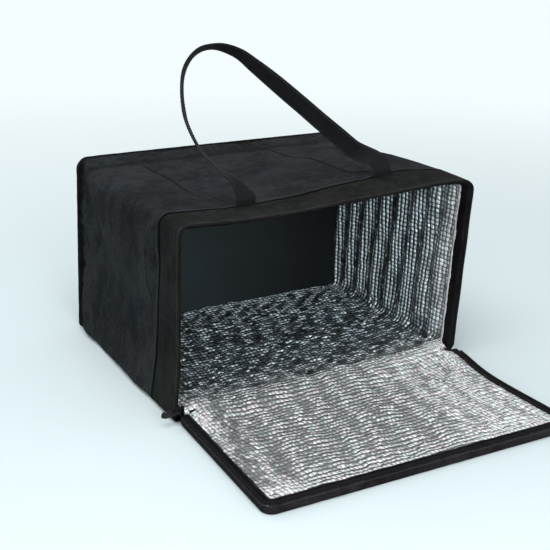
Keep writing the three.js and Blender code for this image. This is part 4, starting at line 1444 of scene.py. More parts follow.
        # at the hinge's two ends the foil is drawn in and lies a little higher or lower
        corner = ease(np.abs(x), 0.135, 0.180) * ease(y, MOUTH - 0.002, MOUTH + 0.010)
        places[..., 2] += 0.0022 * corner
        narrow = ease(y, MOUTH - 0.012, MOUTH + 0.004)
        places[..., 0] *= 1 - narrow * (1 - (LINING_HIGH.x - 0.0012) / half)
        end = 1 - ease(half - np.abs(x), 0.0, 0.012)
        places[..., 2] -= 0.001 * bell(y, MOUTH - 0.002, 0.012) * end
        places[..., 0] -= 0.007 * ease(x, 0.150, half) * bell(y, MOUTH + 0.004, 0.011)
        return places

    def base(self):
        """Foil over the base, inside"""
        low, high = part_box("base_lining")
        grid = rounded_plate(low.x, high.x, low.z, high.z, 0.002, 0.006, 0.0024)
        x, z = grid[..., 0], grid[..., 1]
        cells = Cells(81)
        sheet, plump = cells.sheet(x, z, 0.1), 0.4 + 0.3 * cells.uneven(x, z)
        y = low.y - 0.0002 + crushed(x, z, (0.5, 0.3, 0.2, 0.1)) * 0.6
        y = y - cells.pillow(sheet) * plump * sizes().emboss
        places = settle(np.stack([x, y, z], 2))
        item = laid_grid("base_foil", places, one_way(places, 1, -1), sheet, plump)
        dressed(item, "Foil", "shell", "foil", ["base_lining"], 80)

    def facing(self):
        """Black facing turned over the mouth's edge, and the foil's cut edge on it"""
        low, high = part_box("mouth_facing")
        line = shell_outline(0, ARCH_STEPS)
        arch = line.part(line.points[:, 1] > low.z - 0.006)
        front, back = mouth_edge(arch.points) + 0.0004, high.y
        wave = Waves(91, 0.03).along(arch.run) * 0.35 * MM
        deep = rim_depth(arch.points)
        section = [(0.0022, front + 0.008), (0.0022, front + 0.001), (0.0024, front + 0.0002),
                   (0.0012 + 0.0028 * deep, front - 0.0002), (0.0008 + 0.0048 * deep, front),
                   (0.0004 + 0.0068 * deep, front - 0.0001), (0.0002 + 0.0081 * deep, front + 0.0006),
                   (0.0002 + 0.0086 * deep, front + 0.0018),
                   (0.0003 + 0.0012 * (1 - deep) + 0.0086 * deep + wave * 0.3, front + 0.005),
                   (0.0088 + wave * 0.3, back - 0.002), (0.0087, back + 0.003)]
        rows = settle(arch.lofted(section))
        inside = -arch.outward(len(rows))
        out = turned_to(normals_of(rows), inside)
        run = np.broadcast_to(arch.run, rows.shape[:2])
        rows = rows + out * (Waves(92, 0.02).at(run, rows[..., 1]) * 0.22 * MM)[..., None]
        cloth("mouth_facing_cloth", rows, out, 0.0007, ("Facing", "shell", "trim", ["mouth_facing"]))
        jag = Waves(93, 0.006).along(arch.run) * 0.45 * MM + Waves(94, 0.03).along(arch.run) * 0.5 * MM
        section = [(0.0092, back - 0.0006 + jag), (0.0098, back - 0.0004 + jag), (0.0098, back + 0.0022)]
        shown = arch.points[:, 0] > 0.190
        rows = settle(arch.lofted(section))[:, shown]
        cloth("lining_cut_edge", rows, inside[:3, shown], 0.0006, ("Foam", "shell", "foam", []))


# Lid

def lid_outline(steps, inset=0.0, near_radius=0.006):
    """The lid's outline seen from above: Outline's second length runs away from the hinge"""
    low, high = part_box("lid_rim")
    return Outline(low.x + inset, high.x - inset, -high.y + inset, -low.y - inset,
                   max(near_radius - inset, 0.003), TOP_RADIUS - inset * 0.5, steps)


def lid_lofted(line, section):
    """As Outline.lofted, with heights in place of Y: gives points on the lid, settled"""
    rows = line.lofted(section)
    return settle_lid(np.stack([rows[..., 0], -rows[..., 2], rows[..., 1]], 2))


def lid_outward(line, rows):
    """As Outline.outward, on the lid"""
    flat = line.outward(rows)
    return np.stack([flat[..., 0], -flat[..., 2], flat[..., 1]], 2)


def arch_of(line, start):
    """The part of the lid's outline from one zip foot round the far side to the other"""
    return line.part(line.points[:, 1] > start)


class BAG_OT_lid(bpy.types.Operator):
    """Make the lid's panel, rim, facing and the binding along its hinge"""

    bl_idname = "bag.lid"
    bl_label = "Lid"

    def execute(self, context):
        self.rim()
        self.panel()
        self.facing()
        self.hinge()
        return {"FINISHED"}

    def rim(self):
        """The rim, from under the lid up and over its edge"""
        line = lid_outline(LID_STEPS)
        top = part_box("lid_rim")[1].z
        sway = Waves(101, 0.045).along(line.run) * 0.35 * MM + Waves(102, 0.013).along(line.run) * 0.1 * MM
        section = [(0.010, 0.0006), (0.004, 0.0003), (0.0016, 0.0006), (0.0006, 0.0015), (0.0001, 0.003),
                   (-0.0003 + sway, 0.0050), (-0.0004 + sway, 0.0072), (-0.0001 + sway * 0.5, 0.0095),
                   (0.0001, 0.0110), (0.0005, top + 0.0001), (0.0012, top + 0.0004), (0.0019, top - 0.0006),
                   (0.0022, top - 0.004)]
        rows = lid_lofted(line, section)
        out = turned_to(normals_of(rows, True), lid_outward(line, len(rows)))
        pucker = np.sin(line.run / 0.0021) * 0.14 * MM
        rows[8:11] += out[8:11] * pucker[None, :, None]
        look = ("Rim", "lid", "outer_fabric", ["lid_rim"])
        cloth("lid_rim_fabric", rows, out, 0.0007, look, 70, closed=True)

    def panel(self):
        """The panel, which lies on the ground with its outer side down"""
        low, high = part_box("lid_panel")
        inset = 0.0015
        grid = rounded_plate(low.x + inset, high.x - inset, -high.y + inset, -low.y - inset,
                             0.0095, 0.0125, 0.005)
        x, y = grid[..., 0], -grid[..., 1]
        edge = border_distance(x, y, low.x, high.x, low.y, high.y)
        folds = 0.9 + 0.55 * Waves(103, 0.08).at(x, y) + 0.25 * Waves(104, 0.03).at(x, y)
        z = 0.0003 + folds * MM * ease(edge, 0.004, 0.03)
        places = settle_lid(np.stack([x, y, np.maximum(z, 0.0003)], 2))
        look = ("Wrap", "lid", "outer_fabric", ["lid_panel"])
        cloth("lid_panel_fabric", places, one_way(places, 2, -1), 0.0010, look, 70)

    def facing(self):
        """Black facing round the foil's three free sides"""
        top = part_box("lid_facing")[1].z
        line = arch_of(lid_outline(LID_STEPS), -MOUTH + 0.0035)
        wave = Waves(111, 0.035).along(line.run) * 0.25 * MM + Waves(112, 0.008).along(line.run) * 0.06 * MM
        section = [(0.0024, top - 0.003), (0.0025, top + 0.0008), (0.0032, top + 0.0014),
                   (0.0045, top + 0.0013), (0.0062, top + 0.0010), (0.0080, top + 0.0007),
                   (0.0098 + wave, top + 0.0005), (0.0104 + wave, top - 0.0001),
                   (0.0100 + wave, top - 0.0009)]
        rows = lid_lofted(line, section)
        rows[..., 2] += Waves(113, 0.022).at(rows[..., 0], rows[..., 1]) * 0.16 * MM
        cloth("lid_facing_cloth", rows, one_way(rows, 2), 0.0006, ("Facing", "lid", "trim", ["lid_facing"]))

    def hinge(self):
        """Binding folded along the hinge, on the shell's side and on the lid's"""
        low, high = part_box("hinge_binding")
        xs = np.linspace(low.x, high.x, 120)
        wave = Waves(121, 0.04).along(xs) * 0.2 * MM
        section = [(high.y, 0.0016), (high.y - 0.0006, 0.0003), (low.y + 0.003, 0.0002),
                   (low.y + 0.0012, 0.0008), (low.y + 0.0009, 0.004), (low.y + 0.0006, 0.010),
                   (low.y + 0.0002, HINGE - 0.002), (MOUTH - 0.0006, HINGE - 0.0006),
                   (MOUTH + 0.0008, HINGE - 0.0010), (MOUTH + 0.0022, HINGE - 0.004),
                   (MOUTH + 0.0032, 0.0105)]
        rows = np.array([np.stack([xs, np.full_like(xs, y), z + wave * (z > 0.003)], 1) for y, z in section])
        rows[2:, :, 2] += hinge_rise(xs / MM, 0.0) * MM
        rows[5:, :, 2] -= 0.0050 * ease(np.abs(xs), 0.176, 0.185)
        # the upright part, row 4, shows its side towards the lid
        out = turned_to(normals_of(rows), np.array([0, -1, 0]), (4, 60))
        look = ("Facing", "shell", "trim", ["hinge_binding"])
        cloth("hinge_binding_cloth", rows, out, 0.0008, look)
        low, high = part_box("lid_hinge_edge")
        xs = np.linspace(low.x, high.x, 120)
        section = [(high.y - 0.0002, low.z), (high.y, high.z - 0.0014),
                   ((low.y + high.y) / 2, high.z - 0.0006), (low.y, high.z - 0.0014),
                   (low.y + 0.0002, low.z)]
        rows = np.array([np.stack([xs, np.full_like(xs, y), np.full_like(xs, z)], 1) for y, z in section])
        rows[..., 2] += hinge_rise(xs / MM, 0.0) * MM
        look = ("Facing", "lid", "trim", ["lid_hinge_edge"])
        cloth("lid_hinge_binding", rows, one_way(rows, 2), 0.0004, look)


# Zip

def coil_path(centre, out, along, half_width, half_height, pitch):
    """Turns of a coil round a line of points: out is the face's normal, along the free edge's side"""
    length = run_along(centre)
    turns = int(length[-1] / pitch)
    steps = turns * 8
    place = np.linspace(0, length[-1], steps + 1)
    middle, normal, side = (interpolated(place, length, values) for values in (centre, out, along))
    angle = 2 * np.pi * turns * np.linspace(0, 1, steps + 1)
    return (middle + side * (half_width * np.cos(angle))[:, None]
            + normal * (half_height * np.sin(angle))[:, None])


class BAG_OT_zip(bpy.types.Operator):
    """Sew the zip's tapes, wind its coils and set its stops"""

    bl_idname = "bag.zip"
    bl_label = "Zip"

    def execute(self, context):
        self.body_side()
        self.lid_side()
        # the stops are moved 0.9 mm towards the mouth's middle, to where the tape lies
        for name, shift in (("zip_stop_left", 0.00091), ("zip_stop_right", -0.00091)):
            low, high = (Vector((corner.x + shift, corner.y, corner.z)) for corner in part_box(name))
            dressed(block(name + "_bar", low, high, 0.0007, 3), "Facing", "shell", "trim", [name], 60)
        return {"FINISHED"}

    def tape(self, name, rows, wanted, body):
        """A tape, which shows the side that its third row turns outward"""
        out = turned_to(normals_of(rows), wanted, 2)
        item = laid_grid(name + "_cloth", rows, out, sheet_lengths(rows))
        dressed(item, "Tape", body, "trim", [name], 60)

    def coil(self, name, centre, out, axis, body):
        """A coil, whose turns are as wide along the given axis as the frame's coil"""
        low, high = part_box(name)
        along = np.tile(np.eye(3)[axis], (len(out), 1))
        half_width = (high[axis] - low[axis]) / 2 - COIL_WIRE
        path = coil_path(centre, out, along, half_width, 0.00040, sizes().coil_pitch)
        dressed(tube(name + "_wire", path, COIL_WIRE, 5), "Coil", body, "coil", [name], 80)

    def body_side(self):
        """Tape and coil round the mouth"""
        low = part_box("body_zip_tape")[0]
        line = shell_outline(0, ARCH_STEPS)
        arch = line.part(line.points[:, 1] > low.z - 0.001)
        inset = low.x - SHELL_LOW.x
        front = mouth_edge(arch.points) - 0.0008
        section = [(inset + 0.0001, front + 0.0105), (inset, front + 0.0036), (inset, front + 0.0018),
                   (inset + 0.0001, front + 0.0004), (inset + 0.0004, front),
                   (inset + 0.0009, front + 0.0006), (inset + 0.0010, front + 0.003),
                   (inset + 0.0010, front + 0.0105)]
        out = arch.outward(1)[0]
        self.tape("body_zip_tape", settle(arch.lofted(section)), out, "shell")
        centre = settle(arch.lofted([(0.0013, front + 0.0001)]))[0]
        self.coil("body_zip_coil", centre, out, 1, "shell")

    def lid_side(self):
        """Tape and coil round the lid"""
        low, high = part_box("lid_zip_tape")
        arch = arch_of(lid_outline(LID_STEPS), -high.y)
        inset, top = low.x - SHELL_LOW.x, high.z
        section = [(inset, low.z + 0.004), (inset - 0.0002, top - 0.0036), (inset - 0.0003, top - 0.0018),
                   (inset - 0.0001, top - 0.0004), (inset + 0.0004, top), (inset + 0.0009, top - 0.0006),
                   (inset + 0.0010, top - 0.003)]
        out = lid_outward(arch, 1)[0]
        self.tape("lid_zip_tape", lid_lofted(arch, section), out, "lid")
        low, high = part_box("lid_zip_coil")
        centre = lid_lofted(arch, [(0.0007, (low.z + high.z) / 2)])[0]
        self.coil("lid_zip_coil", centre, out, 2, "lid")


class BAG_OT_slider(bpy.types.Operator):
    """Cast the zip's slider, its crown and the pull tab"""

    bl_idname = "bag.slider"
    bl_label = "Slider and pull tab"

    def execute(self, context):
        low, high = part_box("slider_body")
        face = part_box("body_zip_coil")[0].x - 0.0003
        middle_y = (low.y + high.y) / 2
        plates = []
        for name, x0, x1 in (("face", low.x, face), ("back", high.x - 0.0012, high.x)):
            plate = block("slider_" + name, (x0, low.y, low.z), (x1, high.y, high.z))
            self.waisted(plate, middle_y, low.z, high.z)
            plates.append(applied(plate, "BEVEL", width=0.00045, segments=3, limit_method="ANGLE"))
        post = block("slider_post", (face - 0.0006, middle_y - 0.001, high.z - 0.0045),
                     (high.x - 0.0006, middle_y + 0.001, high.z - 0.0004), 0.0004, 3)
        body = joined("slider_casting", *plates, post)
        dressed(body, "Metal", "zip_slider", "zip_metal", ["slider_body"], 45)
        self.crown(middle_y)
        self.tab()
        return {"FINISHED"}

    def crown(self, middle_y):
        """The arch that the tab hangs on"""
        low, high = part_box("slider_crown")
        reach = (high.z - low.z) / 2 - 0.0006
        depth = high.x - low.x - 0.0006
        middle_z = (low.z + high.z) / 2
        path = [(high.x + 0.0004 - depth * math.sin(a) ** 0.55, middle_y, middle_z - reach * math.cos(a))
                for a in np.linspace(0, np.pi, 15)]
        crown = tube("slider_crown_arch", path, 0.00125, 10)
        places = coordinates(crown)
        x = places[:, 0]
        places[:, 0] = low.x + 0.0001 + (x - x.min()) * ((high.x + 0.0004 - low.x) / (x.max() - x.min()))
        set_coordinates(crown, places)
        dressed(crown, "Metal", "zip_slider", "zip_metal", ["slider_crown"], 60)

    def waisted(self, plate, middle_y, low, high):
        """Narrows a slider plate towards its foot, as a heart shape"""
        in_edit(plate, lambda: bpy.ops.mesh.subdivide(number_cuts=5))
        places = coordinates(plate)
        share = (places[:, 2] - low) / (high - low)
        width = 0.80 + 0.20 * np.sin(np.pi * np.clip(share * 0.75 + 0.18, 0, 1))
        places[:, 1] = middle_y + (places[:, 1] - middle_y) * width
        set_coordinates(plate, places)

    def tab(self):
        """Flat tab with a rounded end and an eye that hangs on the crown"""
        low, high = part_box("pull_tab")
        middle = Vector((low + high) / 2)
        tab = block("pull_tab_casting", low, high)
        only(tab)
        bpy.ops.object.mode_set(mode="EDIT")
        bpy.ops.mesh.select_all(action="DESELECT")
        bpy.ops.object.mode_set(mode="OBJECT")
        for edge in tab.data.edges:
            a, b = (tab.data.vertices[v].co for v in edge.vertices)
            upright = abs(a.z - b.z) > 0.0005
            edge.select = upright and a.x < middle.x
        bpy.ops.object.mode_set(mode="EDIT")
        bpy.ops.mesh.select_mode(type="EDGE")
        bpy.ops.mesh.bevel(offset=0.0037, segments=8)
        bpy.ops.object.mode_set(mode="OBJECT")
        cutter = block("eye", (high.x - 0.0071, middle.y - 0.0023, low.z - 0.002),
                       (high.x - 0.0015, middle.y + 0.0023, high.z + 0.002), 0.0009, 4)
        only(tab)
        modifier = tab.modifiers.new("Eye", "BOOLEAN")
        modifier.object, modifier.operation, modifier.solver = cutter, "DIFFERENCE", "EXACT"
        bpy.ops.object.modifier_apply(modifier=modifier.name)
        bpy.data.objects.remove(cutter)
        applied(tab, "BEVEL", width=0.0005, segments=3, limit_method="ANGLE", angle_limit=math.radians(50))
        hang = Vector(JOINTS["tab_swing"]["pos_m"])
        roll = Matrix.Rotation(math.radians(-7), 4, "Y") @ Matrix.Rotation(math.radians(34), 4, "X")
        places = coordinates(tab)
        places[:, 2] = hang.z + (places[:, 2] - hang.z) * 1.45
        places[:, 1] = hang.y + (places[:, 1] - hang.y) * 1.05
        set_coordinates(tab, np.array([hang + roll @ (Vector(p) - hang) for p in places]))
        dressed(tab, "Metal", "pull_tab", "zip_metal", ["pull_tab"], 45)


# Handles

AXIS = JOINTS["front_handle_swing"]["pos_m"]
LEAN = math.radians(35)
LOOP_UP = np.array([0, math.sin(LEAN), math.cos(LEAN)])
# Stations of the front handle: places along X, up the leaning loop, in millimetres, and the turn of
# the webbing about its own length in degrees
LOOP = np.array([
    [-95.5, 2.0, -4], [-94.6, 12.0, -12], [-94.2, 20.7, -26], [-98.6, 29.6, -40], [-107.3, 37.4, -49],
    [-118.7, 54.3, -52], [-127.1, 67.1, -53], [-130.2, 77.1, -55], [-134.0, 95.2, -56], [-135.3, 110.7, -58],
    [-133.9, 125.7, -60], [-129.8, 147.0, -64], [-122.0, 168.2, -69], [-110.7, 183.8, -78],
    [-95.9, 195.4, -89], [-80.1, 200.0, -99], [-66.7, 199.9, -100], [-54.7, 195.7, -97], [-41.1, 187.5, -93],
    [-26.9, 171.9, -84], [-10.0, 152.6, -75], [7.5, 131.5, -70], [24.7, 110.6, -69], [41.9, 89.1, -67],
    [59.4, 68.4, -66], [74.9, 48.6, -60], [85.5, 33.3, -42], [92.5, 20.5, -20], [95.0, 8.0, -6],
])


def loop_points(count):
    """Centre, direction across and direction through the front handle's webbing"""
    forward = np.array([0, -math.cos(LEAN), math.sin(LEAN)])
    sideways = np.array([1.0, 0, 0])
    step = np.concatenate([[0], np.cumsum(np.hypot(*np.diff(LOOP[:, :2], axis=0).T))])
    place = np.linspace(0, step[-1], count)
    values = spline_at(LOOP, step, place)
    for _ in range(2):
        values[1:-1] = (values[:-2] + 2 * values[1:-1] + values[2:]) / 4
    centre = np.array(AXIS) + (values[:, :1] * sideways + values[:, 1:2] * LOOP_UP) * MM
    along = np.gradient(centre, axis=0)
    along /= np.linalg.norm(along, axis=1, keepdims=True)
    inward = np.cross(along, forward)
    turn = np.radians(values[:, 2])[:, None]
    across = inward * np.cos(turn) + forward * np.sin(turn)
    return centre, across, np.cross(along, across)


def webbing_strip(name, centre, across, through, width=WEBBING, thickness=0.0016):
    """A strap along a line of points, with its two faces and thick rounded selvedges"""
    half = width / 2
    profile = []
    for face in (1, -1):
        for t in np.linspace(-face, face, 11):
            edge = math.sqrt(max(0.0, 1 - max(0.0, (abs(t) - 0.93) / 0.07) ** 2))
            profile.append((t * half, face * thickness / 2 * (0.45 + 0.55 * edge)))
    profile.append(profile[0])
    rows = np.array([centre + across * a + through * b for a, b in profile])
    out = np.array([through * b + across * a * 0.05 for a, b in profile])
    length = run_along(centre)
    uv = np.array([np.stack([length, np.full_like(length, a + half)], 1) for a, b in profile])
    return capped(laid_grid(name, rows, out, uv, closed=True))


class BAG_OT_handles(bpy.types.Operator):
    """Shape the two webbing handles and the ends that are sewn to the bag"""

    bl_idname = "bag.handles"
    bl_label = "Handles"

    def execute(self, context):
        centre, across, through = loop_points(260)
        # the loop's ends are led into the folds of the sewn ends
        folds = {side: self.fold(side) for side in (-1, 1)}
        share = np.linspace(0, 1, len(centre))[:, None]
        starts = [folds[-1] + LOOP_UP * 0.0015, folds[1] + LOOP_UP * 0.0015]
        centre = centre + (1 - ease(share, 0.0, 0.06)) * (starts[0] - centre[0])
        centre = centre + ease(share, 0.90, 1.0) * (starts[1] - centre[-1])
        lean = {side: self.tilt(side) for side in (-1, 1)}
        across = across + (1 - ease(share, 0, 0.04)) * (lean[-1] - across[0])
        across = across - ease(share, 0.90, 1.0) * (lean[1] + across[-1])
        across /= np.linalg.norm(across, axis=1, keepdims=True)
        # the shell and handle bodies, and two places at the height of its feet and above; dressed only bakes
        # the handle's place and attaches it to neither
        bodies = ("shell", "front_handle")
        low, top = min(s[2] for s in starts), max(s[2] for s in starts)
        between = ((0, AXIS[1], low), (0, AXIS[1], top + 0.025))
        handle = webbing_strip("front_handle_webbing", centre, across, through)
        dressed(handle, "Webbing", bodies, "webbing", ["front_handle"], 60, between)
        for edge in (-0.0103, 0.0103):
            for face in (-1, 1):
                path = centre[6:-6] + across[6:-6] * edge + through[6:-6] * 0.00083 * face
                name = f"handle_stitch_{'left' if edge < 0 else 'right'}_{'in' if face < 0 else 'out'}"
                stitched(name, path, through[6:-6] * face, bodies, 0.0031, between=between)
        for side, name in ((-1, "left"), (1, "right")):
            self.tail(folds[side], side, name)
        self.folded()
        return {"FINISHED"}

    def seam_at(self, side):
        """Where a strap comes out of the seam"""
        x = side * STRAP_X
        seam = seam_line(np.array([[x, SHELL_HIGH.z]]))[0]
        return settle(np.array([[x, seam, SHELL_HIGH.z]]))[0]

    def tilt(self, side):
        """Direction across a strap where it is sewn in"""
        x, half = side * STRAP_X, WEBBING / 2
        ends = settle(np.array([[x - half, 0.042, SHELL_HIGH.z], [x + half, 0.042, SHELL_HIGH.z]]))
        return (ends[1] - ends[0]) / np.linalg.norm(ends[1] - ends[0])

    def fold(self, side):
        """Where the sewn end is folded over into the handle"""
        return self.seam_at(side) + np.array([0, -0.0008, 0.0078])

    def tail(self, fold, side, name):
        """The sewn end stands up out of the seam and is folded over into the handle"""
        foot = self.seam_at(side) + np.array([0, -0.0002, -0.0028])
        rise = (fold - foot) / np.linalg.norm(fold - foot)
        before, after = fold - rise * 0.0022, fold + LOOP_UP * 0.0028
        straight = [foot + (before - foot) * t for t in np.linspace(0, 1, 8)[:-1]]
        bend = [before * (1 - t) ** 2 + fold * 2 * t * (1 - t) + after * t * t for t in np.linspace(0, 1, 10)]
        centre = np.array(straight + bend)
        along = np.gradient(centre, axis=0)
        along /= np.linalg.norm(along, axis=1, keepdims=True)
        across = np.tile(self.tilt(side), (len(centre), 1))
        name = f"front_anchor_{name}"
        item = webbing_strip(name + "_webbing", centre, across, np.cross(along, across), 0.0252)
        dressed(item, "Webbing", "shell", "webbing", [name], 60)

    def flat_strip(self, name, centre, across, cut, thickness):
        """A strip that lies flat and is narrowed where cut is more than 0"""
        across = np.outer(np.maximum(1 - cut, 0.04), across)
        through = np.tile([0, 0, 1.0], (len(centre), 1))
        return webbing_strip(name, centre, across, through, thickness=thickness)

    def folded(self):
        """The back handle lies folded flat under the bag, with slanting folds at its two corners"""
        low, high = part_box("back_handle")
        level = (low.z + high.z) / 2
        thickness = (high.z - low.z) * 0.46
        edge = WEBBING / 2
        half, far = (high.x - low.x) / 2 - edge, high.y - edge
        strips = []
        ys = np.linspace(low.y, far + edge, 60)
        cut = np.clip((ys - (far - edge)) / WEBBING, 0, 1)
        for side in (-1, 1):
            under = np.full_like(ys, level - thickness * 0.52)
            centre = np.stack([np.full_like(ys, side * half), ys, under], 1)
            centre[:, 0] -= side * edge * cut
            strips.append(self.flat_strip(f"back_leg_{side}", centre, [1, 0, 0], cut, thickness))
        xs = np.linspace(-half - edge, half + edge, 90)
        cut = np.clip((np.abs(xs) - (half - edge)) / WEBBING, 0, 1)
        centre = np.stack([xs, np.full_like(xs, far), np.full_like(xs, level + thickness * 0.52)], 1)
        centre[:, 1] -= edge * cut
        strips.append(self.flat_strip("back_bar", centre, [0, 1, 0], cut, thickness))
        handle = joined("back_handle_webbing", *strips)
        dressed(handle, "Webbing", "back_handle", "webbing", ["back_handle"], 60)
        for name in ("back_anchor_left", "back_anchor_right"):
            low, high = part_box(name)
            ys = np.linspace(low.y - 0.0004, low.y + 0.012, 10)
            zs = np.linspace(SHELL_LOW.z - 0.0012, SHELL_LOW.z + 0.0012, 10)
            centre = np.stack([np.full_like(ys, (low.x + high.x) / 2), ys, zs], 1)
            item = self.flat_strip(name + "_webbing", centre, [1, 0, 0], np.zeros(10), 0.0010)
            dressed(item, "Webbing", "shell", "webbing", [name], 60)


class BAG_OT_board(bpy.types.Operator):
    """Cut the loose board that stiffens the base"""

    bl_idname = "bag.board"
    bl_label = "Base board"

    def execute(self, context):
        low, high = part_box("base_board")
        top = high.z - 0.0070
        grid = rounded_plate(low.x + 0.0004, high.x - 0.0004, low.z + 0.0002, top, 0.0010, 0.005, 0.008)
        x, z = grid[..., 0], grid[..., 1]
        # the walls lean in towards the top, and the board is cut to clear them
        lean = (z - low.z) / (top - low.z)
        x = x - x / high.x * lean * np.where(x < 0, 0.0046, 0.0034)
        bow = 0.0011 * (1 - (x / high.x) ** 2) * np.sin(np.pi * (z - low.z) / (high.z - low.z))
        places = np.stack([x, low.y + 0.0001 + bow, z], 2)
        item = laid_grid("base_board_sheet", places, one_way(places, 1, -1), sheet_lengths(places))
        thick(item, 0.0022)
        applied(item, "BEVEL", width=0.0004, segments=2, limit_method="ANGLE", angle_limit=math.radians(60))
        dressed(item, "Board", "base_board", "board", ["base_board"], 50)
        return {"FINISHED"}


# Stitching

STITCH_SHARE = 0.72


def stitched(name, path, out, body, pitch=None, between=None):
    """A row of stitches along a line on the fabric: one stitch is made and set down many times"""
    pitch = pitch or sizes().stitch_pitch
    run = run_along(path)
    places = np.arange(pitch / 2, run[-1], pitch)
    centre, normal = interpolated(places, run, path), interpolated(places, run, out)
    along = interpolated(places + pitch * 0.3, run, path) - interpolated(places - pitch * 0.3, run, path)
    along /= np.linalg.norm(along, axis=1, keepdims=True)
    side = np.cross(along, normal)
    side /= np.linalg.norm(side, axis=1, keepdims=True)
    normal = np.cross(side, along)
    only()
    bpy.ops.mesh.primitive_uv_sphere_add(segments=6, ring_count=4, radius=0.5, calc_uvs=False)
    item = bpy.context.object
    item.name = item.data.name = name
    shape = coordinates(item)
    applied(item, "ARRAY", count=len(places), use_relative_offset=False)
    # the sphere's own axes become the stitch's width, height and length
    width = sizes().thread
    x, y, z = shape[None, :, :1], shape[None, :, 1:2], shape[None, :, 2:]
    set_coordinates(item, centre[:, None] + x * side[:, None] * width + y * normal[:, None] * width
                    + z * along[:, None] * pitch * STITCH_SHARE)
    in_edit(item, lambda: bpy.ops.mesh.normals_make_consistent(inside=False))
    return dressed(item, "Thread", body, "trim", [], 80, between)


class BAG_OT_stitching(bpy.types.Operator):
    """Run the rows of stitches"""

    bl_idname = "bag.stitching"
    bl_label = "Stitching"

    def execute(self, context):
        line = shell_outline(0, STITCH_STEPS)
        everywhere, off_the_ground = line.points[:, 1] > 0, line.points[:, 1] > 0.010
        self.on_fabric("seam_topstitch", line, seam_line(line.points) + 8.5 * MM, everywhere)
        self.on_fabric("mouth_edge_stitch", line, mouth_edge(line.points) + 3.4 * MM, off_the_ground, 0.003)
        arch = arch_of(lid_outline(LID_STEPS), 0.012)
        path = lid_lofted(arch, [(-0.0001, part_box("lid_rim")[1].z - 0.0016)])[0]
        stitched("lid_rim_stitch", path, lid_outward(arch, 1)[0], "lid", 0.003)
        arch = arch_of(lid_outline(LID_STEPS), 0.015)
        path = lid_lofted(arch, [(0.0084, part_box("lid_facing")[1].z + 0.0009)])[0]
        stitched("lid_facing_stitch", path, one_way(path, 2), "lid", 0.003)
        return {"FINISHED"}

    def on_fabric(self, name, line, y, shown, pitch=None):
        """Stitches round the box, laid on the outer fabric with its folds"""
        soft, out = outer_fabric(line, [(0.0, y + step) for step in (-0.0002, 0.0, 0.0002)])
        path = soft[1] + out[1] * 0.00012
        stitched(name, path[shown], out[1][shown], "shell", pitch)


# Stage

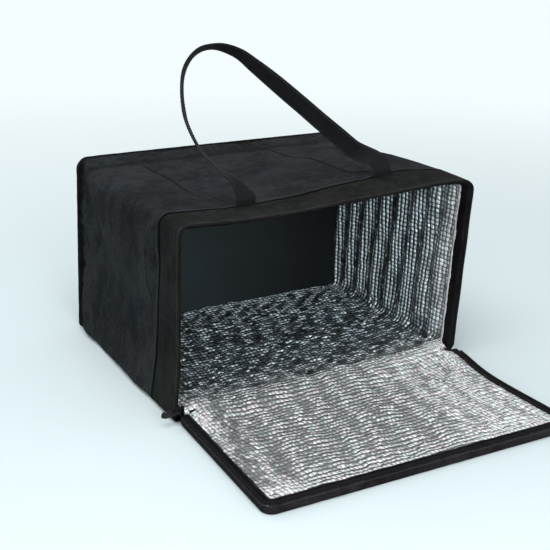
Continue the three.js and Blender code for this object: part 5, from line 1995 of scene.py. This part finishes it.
class BAG_OT_stage(bpy.types.Operator):
    """Set the camera, the lamps, the floor and the pale surroundings"""

    bl_idname = "bag.stage"
    bl_label = "Stage"

    def execute(self, context):
        scene = context.scene
        scene.view_settings.view_transform = "Standard"
        self.camera(scene)
        self.floor()
        self.world(scene)
        lamp("key_lamp", (-0.55, -0.55, 1.75), (0.0, 0.02, 0.05), (1.5, 1.1), 20)
        lamp("window_lamp", (-0.9, -1.9, 0.75), (0.05, 0.05, 0.12), (1.6, 1.0), 31)
        lamp("back_lamp", (-0.4, 1.5, 1.3), (0.0, 0.1, 0.2), (1.6, 0.8), 12)
        lamp("front_lamp", (-0.15, -1.5, 0.85), (0.05, 0.18, 0.05), (0.7, 0.7), 9.5)
        return {"FINISHED"}

    def camera(self, scene):
        """The camera stands where the photo was taken from, fitted to the bag's corners"""
        turn, tilt, roll = (math.radians(v) for v in (-28.53, 19.64, 0.27))
        back = Vector((math.sin(turn) * math.cos(tilt), -math.cos(turn) * math.cos(tilt), math.sin(tilt)))
        right = Vector((0, 0, 1)).cross(back).normalized()
        up = back.cross(right)
        right, up = (right * math.cos(roll) + up * math.sin(roll),
                     up * math.cos(roll) - right * math.sin(roll))
        data = bpy.data.cameras.new("camera")
        data.lens = 71.05
        data.sensor_width = 36
        data.clip_end = 50
        camera = bpy.data.objects.new("camera", data)
        stand = Matrix((right, up, back)).transposed().to_4x4()
        stand.translation = Vector((-0.6460, -1.0574, 0.5904))
        camera.matrix_world = stand
        scene.collection.objects.link(camera)
        scene.camera = camera

    def floor(self):
        """Pale ground that, for the camera alone, glows towards the backdrop's colour farther from a point in
        front of the bag's left: painted light, brighter away from the bag
        """
        only()
        bpy.ops.mesh.primitive_plane_add(size=30, location=(0, 0, 0))
        floor = bpy.context.object
        floor.name = "floor"
        f = Finish("Pale floor", Roughness=0.95, Specular_IOR_Level=0.1)
        f.out(Base_Color=tuple(colours().ground))
        # painted light: the glow grows with distance from this point
        spot = {0: f.place(), 1: (-0.35, -0.25, 0)}
        distance = f.add("ShaderNodeVectorMath", {"operation": "DISTANCE"}, spot, "Value")
        seen = f.add("ShaderNodeLightPath", output="Is Camera Ray")
        glow = f.add("ShaderNodeEmission", inputs={"Color": BACKDROP, "Strength": 1.0})
        plain = Wire(f, f.shader.outputs[0])
        mixed = f.add("ShaderNodeMixShader", inputs={0: distance.smooth(0.5, 2.6) * seen, 1: plain, 2: glow})
        f.put(f.tree.nodes["Material Output"].inputs["Surface"], mixed)
        floor.data.materials.append(f.material)

    def world(self, scene):
        """Pale light from all round; the camera sees the backdrop's colour"""
        world = bpy.data.worlds.new("Pale surroundings")
        scene.world = world
        world.use_nodes = True
        tree = world.node_tree
        tree.nodes.clear()
        light = tree.nodes.new("ShaderNodeBackground")
        light.inputs["Color"].default_value = (0.93, 0.97, 1.0, 1)
        light.inputs["Strength"].default_value = 0.75
        seen = tree.nodes.new("ShaderNodeBackground")
        seen.inputs["Color"].default_value = BACKDROP
        seen.inputs["Strength"].default_value = 1.0
        path = tree.nodes.new("ShaderNodeLightPath")
        either = tree.nodes.new("ShaderNodeMath")
        either.operation = "MAXIMUM"
        mix = tree.nodes.new("ShaderNodeMixShader")
        output = tree.nodes.new("ShaderNodeOutputWorld")
        tree.links.new(path.outputs["Is Camera Ray"], either.inputs[0])
        tree.links.new(path.outputs["Is Transmission Ray"], either.inputs[1])
        tree.links.new(either.outputs[0], mix.inputs[0])
        tree.links.new(light.outputs[0], mix.inputs[1])
        tree.links.new(seen.outputs[0], mix.inputs[2])
        tree.links.new(mix.outputs[0], output.inputs[0])


def lamp(name, place, aim, size, power):
    """A rectangular lamp that is turned towards a point"""
    data = bpy.data.lights.new(name, "AREA")
    data.shape = "RECTANGLE"
    data.size, data.size_y = size
    data.energy = power
    item = bpy.data.objects.new(name, data)
    item.location = place
    item.rotation_mode = "QUATERNION"
    item.rotation_quaternion = (Vector(aim) - Vector(place)).to_track_quat("-Z", "Y")
    bpy.context.scene.collection.objects.link(item)


class BAG_PT_panel(bpy.types.Panel):
    """Lists the bag's groups of pieces and their sizes and colours"""

    bl_label = "Cooler bag"
    bl_space_type = "VIEW_3D"
    bl_region_type = "UI"
    bl_category = "Cooler bag"

    def draw(self, context):
        column = self.layout.column()
        for group in OPERATORS:
            column.operator(group.bl_idname)
        for settings in (context.scene.bag_sizes, context.scene.bag_colours):
            for name in settings.__annotations__:
                column.prop(settings, name)


OPERATORS = (BAG_OT_stage, BAG_OT_shell, BAG_OT_linings, BAG_OT_lid, BAG_OT_zip, BAG_OT_slider,
             BAG_OT_handles, BAG_OT_board, BAG_OT_stitching)
CLASSES = (BagSizes, BagColours, *OPERATORS, BAG_PT_panel)


def register():
    for item in CLASSES:
        bpy.utils.register_class(item)
    bpy.types.Scene.bag_sizes = bpy.props.PointerProperty(type=BagSizes)
    bpy.types.Scene.bag_colours = bpy.props.PointerProperty(type=BagColours)


def unregister():
    del bpy.types.Scene.bag_sizes
    del bpy.types.Scene.bag_colours
    for item in reversed(CLASSES):
        bpy.utils.unregister_class(item)


def main():
    register()
    bpy.ops.bag.stage()
    bpy.ops.bag.shell()
    bpy.ops.bag.linings()
    bpy.ops.bag.lid()
    bpy.ops.bag.zip()
    bpy.ops.bag.slider()
    bpy.ops.bag.handles()
    bpy.ops.bag.board()
    bpy.ops.bag.stitching()


if __name__ == "__main__":
    main()
